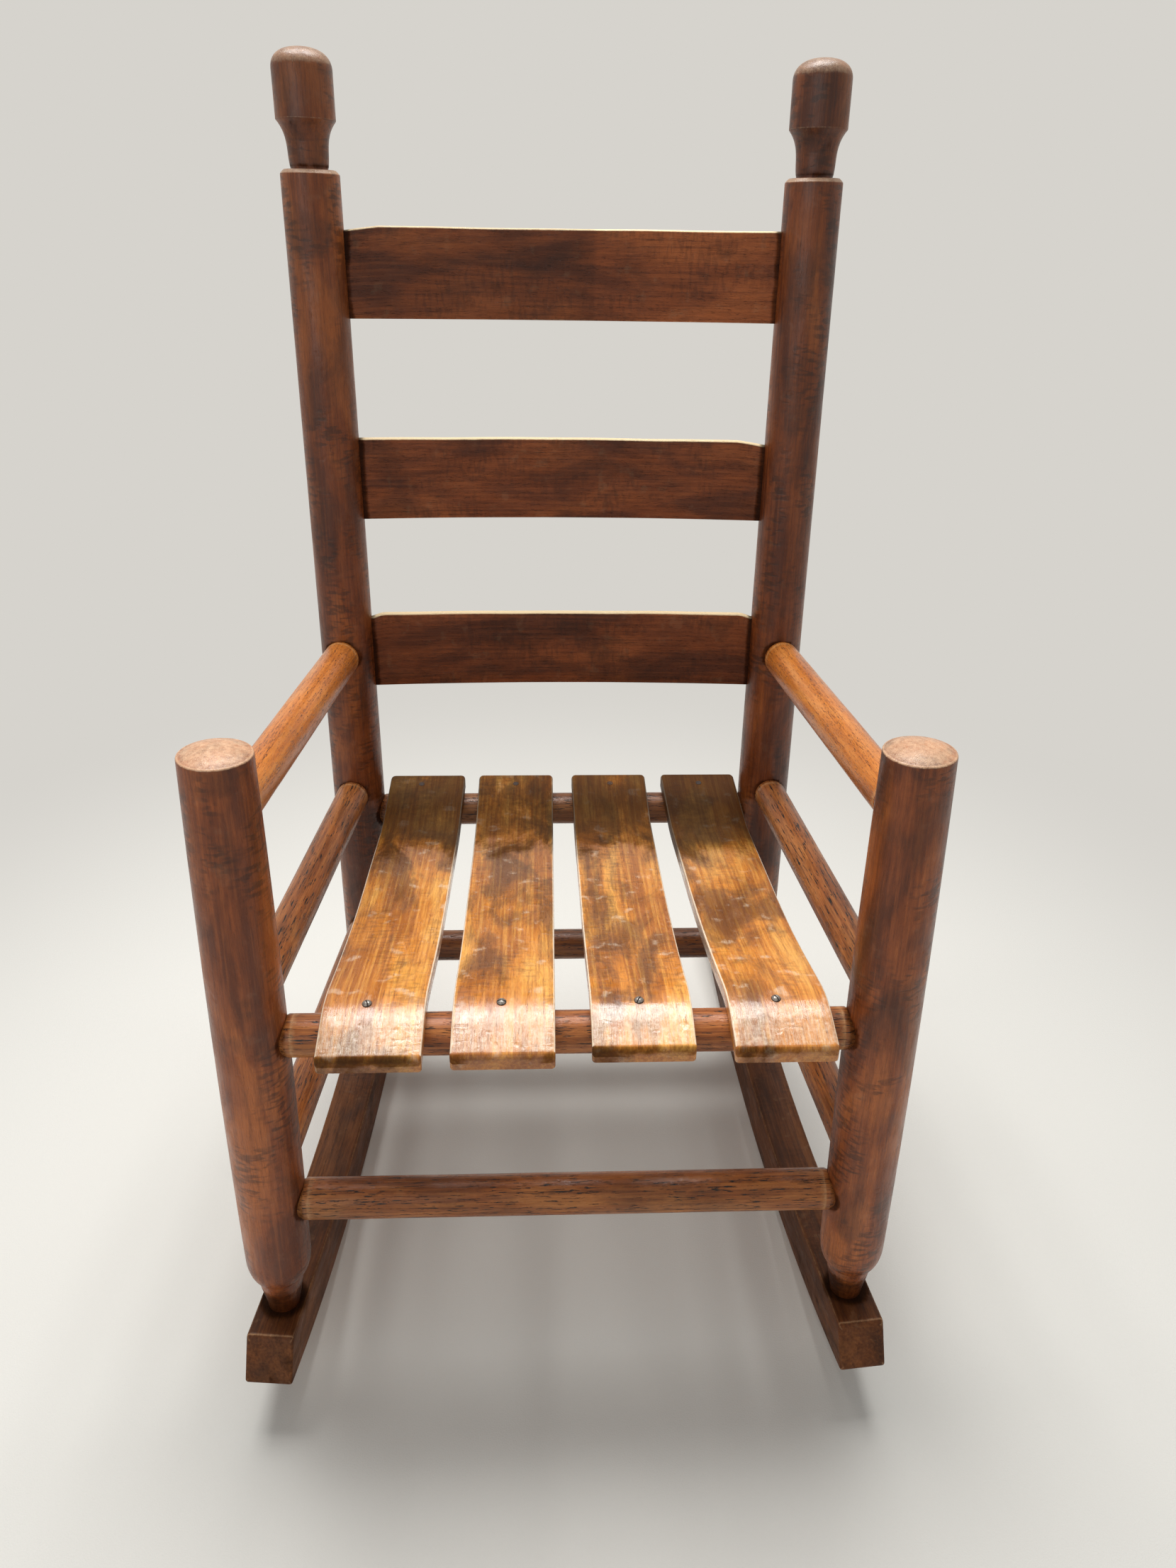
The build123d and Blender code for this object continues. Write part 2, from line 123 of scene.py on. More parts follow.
# ---------------------------------------------------------------- sizes
class ChairFrameSizes(bpy.types.PropertyGroup):
    rest_lean: angle("Rest Lean", 10, "How far the chair leans back when it stands at rest")
    front_foot_spread: length("Front Foot Spread", 393, "Between the front post axes on the rockers")
    front_top_spread: length("Front Top Spread", 369, "Between the front post axes at the top")
    front_top: length("Front Post Top", 462, "Height of the front posts' rim")
    front_radii: lengths("Front Post Radii", (21.4, 22.0, 19.7), "Above the foot, half way, at the top")
    front_dome: length("Front Post Dome", 4, "Rise of the front posts' worn top above its rim")
    back_foot_spread: length("Back Foot Spread", 335, "Between the back post axes on the rockers")
    back_top_spread: length("Back Shoulder Spread", 322.5, "Between the back post axes at the shoulder")
    back_setback: length("Back Post Setback", 275, "From the front posts' feet to the back posts' feet")
    back_rake: angle("Back Post Rake", 0.8, "How far the back posts lean back from the front posts")
    back_shoulder: length("Back Shoulder", 734.4, "Height of the shoulder under the finial")
    back_radii: lengths("Back Post Radii", (20.7, 19.6, 18.7), "Above the foot, half way, at the top")
    ankle_radius: length("Ankle Radius", 10.9, "The narrow part of every post's foot")
    ankle_height: length("Ankle Height", 2, "Where the foot begins to widen")
    flare_radius: length("Flare Radius", 16, "Just under the step of the foot")
    flare_height: length("Flare Height", 31, "Height of the step of the foot")
    swell_height: length("Swell Height", 50, "Where the foot reaches the post's full thickness")


class FinialSizes(bpy.types.PropertyGroup):
    neck_radius: length("Neck Radius", 11.7, "Where the neck leaves the shoulder")
    waist_radius: length("Waist Radius", 12.9, "Half way up the neck")
    flare_radius: length("Flare Radius", 15, "Just under the collar")
    collar_height: length("Collar Height", 26.9, "Of the cap's sharp lower edge above the shoulder")
    cap_radius: length("Cap Radius", 18.6, "Of the finial's cap")
    cap_side: length("Cap Side", 26, "Straight height of the cap")
    cap_crown: length("Cap Crown", 12.5, "Height of the cap's rounded top")


class RungSizes(bpy.types.PropertyGroup):
    seat_height: length("Seat Rung Height", 275, "Of the front seat rung's axis")
    rear_seat_rise: length("Rear Seat Rung Rise", 1, "Of the rear seat rung above the front one")
    side_seat_rises: lengths("Side Seat Rung Rises", (18, 25), "At the front and the back post")
    lower_height: length("Lower Rung Height", 138.5, "Of the front lower rung's axis")
    rear_lower_rise: length("Rear Lower Rung Rise", 1.5, "Of the rear lower rung above the front one")
    side_lower_rises: lengths("Side Lower Rung Rises", (18.5, 33.5), "At the front and the back post")
    arm_drops: lengths("Arm Drops", (42.2, 47.3), "Of the arms below the front posts' rim")
    arm_radius: length("Arm Radius", 13, "Of both arms")
    seat_radii: lengths("Seat Rung Radii", (13.1, 12.9, 12.3), "Of the front, rear and side ones")
    lower_radii: lengths("Lower Rung Radii", (13.4, 13.3, 12.8), "Of the front, rear and side ones")


class BackSlatSizes(bpy.types.PropertyGroup):
    thickness: length("Thickness", 6.5, "Of the back slats")
    mortise: length("Mortise Depth", 9, "How far a slat's end goes into its post")
    drops: lengths("Drops", (86.6, 220.4, 348.9), "Of the slats' lower edges below the shoulders")
    widths: lengths("Widths", (56, 56.5, 57.5), "Of the top, middle and bottom slat")
    bows: lengths("Bows", (9, 10, 7), "How far each slat bends back in its middle")
    left_clips: lengths("Left Clips", (23, 0, 9), "Length of the worn slope at each upper left corner")
    right_clips: lengths("Right Clips", (0, 20, 9), "Length of the same slope at the right corner")
    clip_drop: length("Clip Drop", 3, "Height of that slope at the post")


class SeatSizes(bpy.types.PropertyGroup):
    thickness: length("Thickness", 9.6, "Of the seat slats")
    width: length("Width", 60.5, "Of each seat slat")
    front_centres: lengths("Front Centres", (-115, -39, 42, 124), "Where the slats cross the front rung")
    rear_centres: lengths("Rear Centres", (-110, -38, 38, 112), "Where the slats cross the rear rung")
    nose_overhangs: lengths("Nose Overhangs", (34, 33.2, 30.2, 31.5), "From the front rung's axis")
    nose_slope: angle("Nose Slope", 23.5, "How steeply the nose drops")
    nose_bend: length("Nose Bend", 45, "Radius of the underside over the front rung")
    crest_setback: length("Crest Setback", 7.5, "Of the highest line behind the front rung's axis")
    fall_slope: angle("Fall Slope", 8, "How steeply the seat falls behind its crest")
    dish_bend: length("Dish Bend", 690, "Radius of the dished middle")
    dish_depth: length("Dish Depth", 9.7, "Depth of the underside below the top of the front rung")
    hollow_bend: length("Hollow Bend", 100, "Radius of the bend before the rear rung")
    rear_slope: angle("Rear Slope", 12, "How steeply the seat rises to its rear end")
    rear_overhang: length("Rear Overhang", 11.5, "Of the rear ends from the rear rung's axis")
    nose_corner: length("Nose Corner", 1.5, "Round front corners of the slats seen from above")
    rear_corner: length("Rear Corner", 4, "Round rear corners of the slats seen from above")
    nose_edge: length("Nose Edge", 2.4, "Round of the nose's worn upper edge")
    screw_radius: length("Screw Head Radius", 2.9, "Of the round-head screws over the front rung")
    screw_rise: length("Screw Head Rise", 1.7, "Height of the same heads")
    nail_radius: length("Nail Head Radius", 2.2, "Of the nails over the rear rung")
    screw_offsets: lengths("Screw Offsets", (-4.5, -1.5, -1, -1), "Of each screw from the slat's middle")
    nail_offsets: lengths("Nail Offsets", (-4.5, 0, 1, 0), "Of each nail from the slat's middle")
    # Real stain and painted shade: how much darker the rear of each slat is made.
    rear_stain_and_shade: bpy.props.FloatVectorProperty(
        name="Rear Stains",
        description="How dark the rear of each slat is",
        default=(1.0, 0.8, 0.95, 1.2),
        size=4,
    )


class RockerSizes(bpy.types.PropertyGroup):
    radius: length("Running Radius", 708, "Of the rockers' lower edge")
    low_point: length("Low Point", 88.4, "Of the lower edge behind the front feet")
    height: length("Height", 38, "Of the rocker")
    width: length("Width", 32, "Of the rocker")
    flat_start: length("Pad Start", 59, "Where the upper edge turns straight under the front foot")
    front_reach: length("Front Reach", 44.8, "Of the lower edge in front of the front feet")
    front_slant: length("Front Slant", 14.8, "How far the end's upper edge stands back")
    rear_reach: length("Rear Reach", 134, "Of the lower edge behind the back feet")
    end_round: length("End Round", 3, "Of the end's upper and lower edge")
    front_inset: length("Front Foot Inset", 1, "Of the front foot from the middle of the rocker")
    back_inset: length("Back Foot Inset", 4.8, "Of the back foot from the middle of the rocker")


# ---------------------------------------------------------------- finishes
WOOD_COLOURS = {
    "dark": ("Dark Grain", "Late wood and streaks"),
    "middle": ("Wood", "Most of the surface"),
    "light": ("Light Grain", "Early wood and thin varnish"),
    "stain": ("Stain", "Blotches, pores, joints and handled dirt"),
    "worn": ("Worn Wood", "Rubbed edges and scuffs"),
}
WOOD_STRENGTHS = {
    "figure": "Strength of the year rings",
    "streaks": "Strength of the long streaks",
    "pores": "Strength of the dark open pores",
    "fineness": "How fine and short the pores are",
    "clouds": "Strength of the broad clouding",
    "blotches": "Strength of the smoky blotches",
    "bands": "Strength of the marks across the grain",
    "scuffs": "Strength of the pale scuffs and scratches",
    "gloss": "Strength of the varnish",
}
SAWN_WOODS = ("back_slat_wood", "seat_slat_wood", "rocker_wood")
# The colours and the strengths of each wood, in the order above.
WOODS = {
    "post_wood": (
        ((84, 36, 13), (148, 76, 32), (192, 110, 52), (40, 20, 10), (232, 190, 152)),
        (0.1, 0.3, 0.3, 1.5, 0.7, 0.5, 0.75, 0.12, 0.45),
    ),
    "rung_wood": (
        ((98, 48, 18), (174, 100, 44), (212, 140, 74), (26, 14, 8), (216, 168, 116)),
        (0.25, 0.5, 1.0, 1.0, 0.5, 0.35, 0.0, 0.15, 0.45),
    ),
    "arm_wood": (
        ((140, 68, 18), (204, 120, 44), (232, 158, 80), (64, 30, 10), (236, 184, 120)),
        (0.15, 0.3, 0.9, 2.4, 0.4, 0.15, 0.0, 0.15, 0.6),
    ),
    "back_slat_wood": (
        ((72, 35, 20), (132, 70, 36), (166, 94, 50), (32, 18, 13), (238, 214, 170)),
        (0.15, 0.3, 0.5, 2.4, 0.7, 0.5, 0.35, 0.1, 0.2),
    ),
    "seat_slat_wood": (
        ((142, 76, 20), (210, 132, 44), (244, 182, 88), (54, 31, 11), (250, 232, 204)),
        (0.3, 0.45, 0.4, 1.8, 0.65, 0.75, 0.35, 0.7, 1.0),
    ),
    "rocker_wood": (
        ((64, 32, 13), (112, 64, 32), (144, 88, 46), (28, 15, 8), (190, 146, 106)),
        (0.25, 0.4, 0.5, 1.2, 0.6, 0.5, 0.3, 0.4, 0.08),
    ),
}


def wood_group(slot):
    """The property group of one slot's wood: its colours and the strengths of what lies over them."""
    tints, strengths = WOODS[slot]
    kinds = {}
    for (key, (shown, meaning)), tint in zip(WOOD_COLOURS.items(), tints):
        kinds[key] = colour(shown, *tint, meaning)
    for (key, meaning), strength in zip(WOOD_STRENGTHS.items(), strengths):
        kinds[key] = share(key.title(), strength, meaning)
    name = slot.title().replace("_", "")
    return type(name, (bpy.types.PropertyGroup,), {"__annotations__": kinds})


class SteelFinish(bpy.types.PropertyGroup):
    steel: colour("Steel", 168, 162, 154, "Rubbed steel of the screws and nails")
    rust: colour("Rust", 46, 30, 22, "Rust and dirt on the same")


class StageSettings(bpy.types.PropertyGroup):
    floor: colour("Floor", 230, 228, 221, "Plain floor under the chair")
    backdrop: colour("Backdrop", 214, 211, 205, "Plain background")
    key_power: measure("Key Power", 44, "Soft lamp above", "POWER")
    fill_power: measure("Fill Power", 11, "Soft lamp in front", "POWER")
    daylight: share("Daylight", 0.3, "Even light from all around")
    lens: measure("Lens", 24.96, "Focal length of the camera", "CAMERA")


# ---------------------------------------------------------------- lines and profiles
def unit(vector):
    """Vectors of length 1 in the same directions."""
    return vector / np.linalg.norm(vector, axis=-1, keepdims=True)


def points_of(*columns):
    """Rows of points from columns that may be single numbers."""
    return np.stack(np.broadcast_arrays(*columns), axis=-1).astype(float)


def stand(points):
    """Leans the chair back and sets it where the frame has it.

    A turn about x by the lean, y' = y cos a + z sin a and z' = z cos a - y sin a, then a move that
    brings the front seat rung's middle onto the middle of that rung in the frame.
    """
    sizes = settings("frame")
    lean = sizes.rest_lean
    cosine, sine = math.cos(lean), math.sin(lean)
    turn = np.array([[1, 0, 0], [0, cosine, sine], [0, -sine, cosine]])
    low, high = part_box("front_seat_rung")
    middle = (np.array(low) + np.array(high)) / 2
    rung = turn @ np.array([0, 0, settings("rungs").seat_height])
    return points @ turn.T + (middle - rung)


def run(start, end, spacing):
    """Evenly spaced points from start up to, but not including, end."""
    start, end = np.asarray(start, float), np.asarray(end, float)
    steps = max(1, math.ceil(np.linalg.norm(end - start) / spacing))
    return start + (end - start) * (np.arange(steps) / steps)[:, None]


def ease(start, end, leaving, arriving, steps=10):
    """Cubic Hermite curve between two points, with tangents as long as the chord."""
    start, end = np.array(start, float), np.array(end, float)
    chord = np.linalg.norm(end - start)
    first, last = unit(np.array(leaving, float)) * chord, unit(np.array(arriving, float)) * chord
    t = (np.arange(steps) / steps)[:, None]
    return (
        (2 * t**3 - 3 * t**2 + 1) * start
        + (t**3 - 2 * t**2 + t) * first
        + (3 * t**2 - 2 * t**3) * end
        + (t**3 - t**2) * last
    )


def round_corner(before, corner, after, reach, steps=5):
    """Quadratic curve that cuts a corner between the points at the reach on either side of it."""
    before, corner, after = (np.array(p, float) for p in (before, corner, after))
    start = corner + unit(before - corner) * reach
    end = corner + unit(after - corner) * reach
    t = (np.arange(steps + 1) / steps)[:, None]
    return (1 - t) ** 2 * start + 2 * t * (1 - t) * corner + t**2 * end


def cap(radius, base, rise, steps=7):
    """Spherical cap from its rim to the axis: the rise falls off with the square root of the sphere."""
    ball = (radius**2 + rise**2) / (2 * rise)
    turn = np.linspace(math.asin(radius / ball), 0, steps)
    return points_of(ball * np.sin(turn), base + rise - ball * (1 - np.cos(turn)))


def ripple(a, b, seed):
    """Smooth uneven field between 0 and 1: three crossing sine waves of unequal pitch."""
    waves = (
        np.sin(1.00 * a + 0.61 * b + 1.7 * seed)
        + np.sin(0.47 * a - 1.27 * b + 4.1 * seed)
        + np.sin(1.93 * a + 0.37 * b + 2.3 * seed)
    )
    return 0.5 + waves / 6


def near(distance, reach):
    """1 at and inside a line, fading outside it as a bell curve of the given reach."""
    return np.exp(-np.square(np.maximum(distance, 0) / reach))


def band(distance, half_width, reach):
    """1 on a band to both sides of a line, fading outside it like near()."""
    return near(np.abs(distance) - half_width, reach)


def strongest(first, *others):
    """The largest of several fields, place by place."""
    for field in others:
        first = np.maximum(first, field)
    return first


# ---------------------------------------------------------------- meshes
def closed_faces(stations, around, first):
    """Quads between neighbouring rings and a fan of triangles at each pole, all facing outwards."""
    ring = first + 1 + np.arange((stations - 2) * around).reshape(stations - 2, around)
    ahead = np.roll(ring, -1, axis=1)
    quads = np.stack([ring[:-1], ahead[:-1], ahead[1:], ring[1:]], axis=-1).reshape(-1, 4)
    start = np.full(around, first)
    end = np.full(around, first + 1 + ring.size)
    fans = np.concatenate(
        [np.stack([start, ahead[0], ring[0]], axis=-1), np.stack([ring[-1], ahead[-1], end], axis=-1)]
    )
    return quads.tolist() + fans.tolist()


def without_poles(field):
    """A grid of values as one list in which the first and the last ring are single points."""
    middle = field[1:-1].reshape(-1, *field.shape[2:])
    return np.concatenate([field[0, :1], middle, field[-1, :1]])


def make_piece(name, node, material, surfaces):
    """One object for one node. Each surface is (rings, grain, marks), all grids of the same shape.

    The grain attribute holds a place in the wood in millimetres, z along the fibres. The marks
    attribute holds dirt, wear, end grain and, as alpha, the tone of the piece; in places the dirt
    and the tone also hold painted shade, and the wear a painted highlight.
    """
    places, fibres, marks, faces = [], [], [], []
    count = 0
    for rings, grain, mark in surfaces:
        faces += closed_faces(*rings.shape[:2], count)
        places.append(stand(without_poles(rings)))
        fibres.append(without_poles(grain))
        marks.append(without_poles(mark))
        count += len(places[-1])
    mesh = bpy.data.meshes.new(name)
    mesh.from_pydata(np.concatenate(places).tolist(), [], faces)
    mesh.polygons.foreach_set("use_smooth", np.ones(len(faces), bool))
    attribute = mesh.attributes.new("grain", "FLOAT_VECTOR", "POINT")
    attribute.data.foreach_set("vector", np.concatenate(fibres).astype(np.float32).ravel())
    attribute = mesh.attributes.new("marks", "FLOAT_COLOR", "POINT")
    attribute.data.foreach_set("color", np.concatenate(marks).astype(np.float32).ravel())
    mesh.materials.append(material)
    mesh.update()
    piece = bpy.data.objects.new(name, mesh)
    bpy.context.scene.collection.objects.link(piece)
    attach(piece, "root")
    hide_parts(node)


def make_wood(node, slot, rings, grain, dirt, wear, end_grain, tone):
    """One wooden object of a single surface, in the varnished wood of its slot."""
    marks = points_of(dirt, wear * np.ones_like(dirt), end_grain * np.ones_like(dirt), tone)
    make_piece(f"{node}_wood", node, wood_for(slot), [(rings, grain, marks)])


def turned(start, end, profile, seed, unevenness=0.12 * MM, around=72):
    """A turned piece: each point of the profile (radius, distance along) goes round the axis.

    Point = start + axis * distance + radius * (across * cos a + up * sin a), with the radius made
    smaller by a slow ripple over the angle and the distance.
    """
    axis = unit(end - start)
    across = unit(np.cross((0, 1, 0) if abs(axis[1]) < 0.9 else (0, 0, 1), axis))
    up = np.cross(axis, across)
    angles = np.linspace(0, 2 * math.pi, around, endpoint=False)
    radius, distance = profile[:, :1], profile[:, 1:]
    slow, quick = ripple(angles * 2, distance * 40, seed), ripple(angles * 5, distance * 210, seed)
    dip = unevenness * (0.3 + 0.5 * slow + 0.2 * quick)
    full_from = 4 * MM  # nearer to the axis the ripple fades
    radius = np.maximum(radius - dip * np.minimum(1, radius / full_from), 0)
    outward = across * np.cos(angles)[:, None] + up * np.sin(angles)[:, None]
    rings = start + axis * distance[..., None] + radius[..., None] * outward
    grain = points_of(radius * np.cos(angles), radius * np.sin(angles), distance) / MM
    return rings, grain


def board_outline(corner_steps=5, flat_steps=22, side_steps=6):
    """Once round a rounded rectangle, as four rows: where on its flat sides, and where on its round.

    A point is (a * flat width + c * round, b * flat height + d * round). At a corner a and b are 1 or
    -1 while c and d run through a quarter circle. Along a side a or b runs from 1 to -1.
    """
    outline = []
    for quarter, (a, b) in enumerate(((1, 1), (-1, 1), (-1, -1), (1, -1))):
        turn = np.radians(quarter * 90 + np.linspace(0, 90, corner_steps))
        outline.append(points_of(a, b, np.cos(turn), np.sin(turn)))
        if quarter % 2 == 0:
            outline.append(points_of(a * (1 - 2 * np.arange(1, flat_steps) / flat_steps), b, 0, b))
        else:
            outline.append(points_of(a, b * (1 - 2 * np.arange(1, side_steps) / side_steps), a, 0))
    return np.concatenate(outline).T


def board(lower, upper, across, half_width, edge_round, distances):
    """A sawn or bent board: a rounded rectangle carried along, between a lower and an upper line.

    Point = middle + across * (flat side +- + round * cos a) + up * (flat side +- + round * sin a),
    where up runs from the lower to the upper line. A smaller ring and a point close each end.
    Returns the rings, and the places aside, above and along in the board, and the corners.
    """
    middle, half_up = (lower + upper) / 2, np.linalg.norm(upper - lower, axis=-1) / 2
    up = unit(upper - lower)
    a, b, c, d = board_outline()
    edge = np.minimum(edge_round, np.minimum(half_width, half_up) * 0.98)
    edge, wide, high = edge[:, None], half_width[:, None], half_up[:, None]
    aside = a * (wide - edge) + c * edge
    above = b * (high - edge) + d * edge
    corner = np.abs(c * d) * 2 * np.ones_like(aside)
    end_ring = 0.92  # size of the ring inside each end face
    shares = np.concatenate([(0, end_ring), np.ones(len(middle)), (end_ring, 0)])[:, None]
    aside, above, corner = (with_ends(field) * shares for field in (aside, above, corner))
    corner = corner * (shares == 1)
    along = with_ends(distances)[:, None] * np.ones_like(aside)
    sideways = with_ends(across * np.ones_like(middle))[:, None] * aside[..., None]
    rings = with_ends(middle)[:, None] + sideways + with_ends(up)[:, None] * above[..., None]
    return rings, aside, above, along, corner


def with_ends(field):
    """Rows along a board with its first and its last row given twice more, for the end faces."""
    return np.concatenate([field[:1], field[:1], field, field[-1:], field[-1:]])


def end_stations(total, end_round, spacing):
    """Distances along a board: close together over the round of each end, even between them."""
    curl = end_round * (1 - np.cos(np.radians(np.linspace(0, 90, 7))))
    inner = np.linspace(end_round, total - end_round, max(2, math.ceil(total / spacing)))
    return np.concatenate([curl[:-1], inner, total - curl[-2::-1]])


def end_inset(distances, total, end_round):
    """How far a rounded end draws a board in: round - square root of (round squared - rest squared)."""
    depth = np.minimum(distances, total - distances)
    rest = np.maximum(end_round - depth, 0)
    return end_round - np.sqrt(np.maximum(end_round**2 - rest**2, 0))


# ---------------------------------------------------------------- wood and steel
class Recipe:
    """The node tree of one material or world, written one node a line."""

    def __init__(self, owner):
        owner.use_nodes = True
        self.owner, self.tree = owner, owner.node_tree
        kind = "Background" if isinstance(owner, bpy.types.World) else "Principled BSDF"
        self.shader = self.tree.nodes[kind].inputs

    def feed(self, socket, value):
        if isinstance(value, bpy.types.NodeSocket):
            self.tree.links.new(value, socket)
        else:
            socket.default_value = value

    def shade(self, values):
        """Feeds sockets of the shader itself, by name."""
        for name, value in values.items():
            self.feed(self.shader[name], value)

    def node(self, kind, inputs, **traits):
        made = self.tree.nodes.new("ShaderNode" + kind)
        for name, value in traits.items():
            setattr(made, name, value)
        for key, value in inputs.items():
            self.feed(made.inputs[key], value)
        return made.outputs

    def math(self, operation, first, second=0.0):
        return self.node("Math", {0: first, 1: second}, operation=operation)[0]

    def times(self, first, second):
        return self.math("MULTIPLY", first, second)

    def plus(self, first, second):
        return self.math("ADD", first, second)

    def minus(self, first, second):
        return self.math("SUBTRACT", first, second)

    def larger(self, first, second):
        return self.math("MAXIMUM", first, second)

    def span(self, value, start, end, low=0.0, high=1.0):
        """The value between start and end as a smooth step from low to high."""
        inputs = {"Value": value, "From Min": start, "From Max": end, "To Min": low, "To Max": high}
        return self.node("MapRange", inputs, interpolation_type="SMOOTHSTEP")["Result"]

    def mix(self, amount, first, second):
        return self.node("Mix", {0: amount, 6: first, 7: second}, data_type="RGBA")[2]

    def looked_at(self):
        """1 for the rays of the camera, of gloss and of glass, which show the backdrop."""
        rays = self.node("LightPath", {})
        mirrored = self.larger(rays["Is Glossy Ray"], rays["Is Transmission Ray"])
        return self.larger(rays["Is Camera Ray"], mirrored)

    def noise(self, vector, scale, detail=3.0, roughness=0.5, distortion=0.0, stretch=None):
        """Noise at the place times the stretch: a small number draws it out along that axis."""
        if stretch:
            vector = self.node("VectorMath", {0: vector, 1: stretch}, operation="MULTIPLY")[0]
        inputs = {"Vector": vector, "Scale": scale, "Detail": detail}
        return self.node("TexNoise", inputs | {"Roughness": roughness, "Distortion": distortion})["Fac"]


def mix_wood(name, look, sawn):
    """Varnished wood that follows the grain and marks attributes of its piece.

    Year rings are a sine of the distance from a pith outside the piece, bent by slow noise. Streaks
    and pores are noise drawn out along the fibres. Blotches, cross marks, wear and dirt lie over
    them, and the same fields drive the roughness and the bump.
    """
    wood = Recipe(bpy.data.materials.new(name))
    grain = wood.node("Attribute", {}, attribute_name="grain")["Vector"]
    marks = wood.node("Attribute", {}, attribute_name="marks")
    dirt, wear, end_grain = wood.node("SeparateColor", {0: marks["Color"]})

    # Year rings, and the slow drift that bends and clouds them.
    drift = wood.noise(grain, 0.032, 4.0, 0.55, 0.5, stretch=(1, 1, 0.3))
    pith, sway, fibre_tilt = (9, -46, 0) if sawn else (38, 14, 0), (26, 26, 26), 0.055
    inputs = {0: drift.node.outputs["Color"], 1: sway, 2: grain}
    swayed = wood.node("VectorMath", inputs, operation="MULTIPLY_ADD")[0]
    inputs = {"Vector": swayed, "Angle": fibre_tilt}
    tilted = wood.node("VectorRotate", inputs, rotation_type="X_AXIS")[0]
    inputs = {"Vector": wood.node("VectorMath", {0: tilted, 1: pith})[0], "Scale": 0.11}
    inputs |= {"Distortion": 1.1, "Detail": 2.0, "Detail Scale": 0.12, "Detail Roughness": 0.6}
    wave = {"wave_type": "RINGS", "rings_direction": "Z", "wave_profile": "SAW"}
    rings = wood.node("TexWave", inputs, **wave)["Fac"]

    # Streaks and fibres along the grain, and pores that crowd in the dark streaks.
    streaks = wood.noise(grain, 0.5, 4.0, 0.6, stretch=(1, 1, 0.03))
    fibres = wood.noise(grain, 2.2, 3.0, 0.65, stretch=(1, 1, 0.05))
    pore_field = wood.noise(grain, 1.1 * look.fineness, 3.0, 0.6, stretch=(1, 1, 0.09))
    pore_edge = wood.span(streaks, 0.42, 0.6, 0.7 - 0.08 * look.pores, 0.64 - 0.08 * look.pores)
    pores = wood.span(wood.minus(pore_field, pore_edge), 0.0, 0.03, 0.0, look.pores)

    # Smoky blotches, and patches of marks across the grain.
    smoke = wood.noise(grain, 0.03, 8.0, 0.62, 0.5, stretch=(1, 1, 0.55))
    blotches = wood.span(smoke, 0.48, 0.62, 0.0, look.blotches)
    cross_place = wood.span(wood.noise(grain, 0.03, 3.0, 0.6, stretch=(1, 1, 0.5)), 0.43, 0.58)
    cross_lines = wood.noise(grain, 0.36, 1.5, 0.5, 0.3, stretch=(0.3, 0.3, 1))
    cross = wood.times(wood.span(cross_lines, 0.46, 0.62, 0.0, look.bands), cross_place)

    # Pale scuffs, and thin scratches at a slant where noise passes through its middle value.
    rubs = wood.noise(grain, 0.1, 3.0, 0.5, 0.15, stretch=(0.8, 1, 1))
    scuffs = wood.span(rubs, 0.6, 0.72, 0.0, 0.8 * look.scuffs)
    scuffs = wood.times(scuffs, wood.span(fibres, 0.3, 0.6))
    slanted = wood.node("VectorRotate", {"Vector": grain, "Angle": 0.3}, rotation_type="Y_AXIS")[0]
    scratch_field = wood.noise(slanted, 0.35, 2.0, 0.5, 0.3, stretch=(1, 1, 0.06))
    from_scratch = wood.math("ABSOLUTE", wood.minus(scratch_field, 0.5))
    scratches = wood.span(from_scratch, 0.006, 0.0, 0.0, look.scuffs)
    scuffs = wood.larger(scuffs, wood.times(scratches, wood.span(rubs, 0.46, 0.6, 0.0, 0.45)))

    # Wear and dirt where the marks of the piece ask for them, with ragged edges. On some pieces
    #     # the wear also holds a painted highlight and the dirt a painted shade.
    rub = wood.noise(grain, 0.32, 4.0, 0.7)
    worn = wood.plus(wood.times(rub, 0.45), wood.times(fibres, 0.45))
    worn = wood.span(wood.plus(wear, worn), 0.72, 1.2, 0.0, 0.85)
    ragged = wood.plus(wood.times(rub, 0.3), wood.times(smoke, 1.6))
    grime_and_shade = wood.span(wood.plus(dirt, ragged), 1.1, 1.85, 0.0, 0.85)

    # The layers of colour, from the wood itself to the dirt and painted shade on top.
    base = wood.mix(wood.span(drift, 0.5, 0.38, 0.0, look.clouds), look.middle, look.light)
    for amount, layer in (
        (wood.span(drift, 0.5, 0.62, 0.0, look.clouds), look.dark),
        (wood.times(rings, look.figure), look.dark),
        (wood.span(streaks, 0.48, 0.64, 0.0, look.streaks), look.dark),
        (wood.span(streaks, 0.5, 0.36, 0.0, 0.7 * look.streaks), look.light),
        (wood.span(fibres, 0.46, 0.66, 0.0, 0.35), look.dark),
        (wood.times(blotches, 0.75), look.stain),
        (wood.times(cross, 0.75), look.stain),
        (pores, look.stain),
        (wood.times(scuffs, 0.6), look.worn),
        (wood.times(end_grain, 0.4), look.dark),
        (worn, look.worn),
        (grime_and_shade, look.stain),
    ):
        base = wood.mix(amount, base, layer)
    toned = wood.node("HueSaturation", {"Value": wood.times(marks["Alpha"], 2.0), "Color": base})[0]

    # Varnish: smeared, and dull where it is worn or dirty and where painted shade lies.
    smears = wood.noise(grain, 0.12, 4.0, 0.6, stretch=(1, 1, 0.4))
    rough = wood.span(smears, 0.35, 0.65, 0.5 - 0.15 * look.gloss, 0.68 - 0.2 * look.gloss)
    rough = wood.plus(wood.plus(rough, wood.times(worn, 0.1)), wood.times(grime_and_shade, 0.1))
    shine = 0.16 + 0.14 * look.gloss

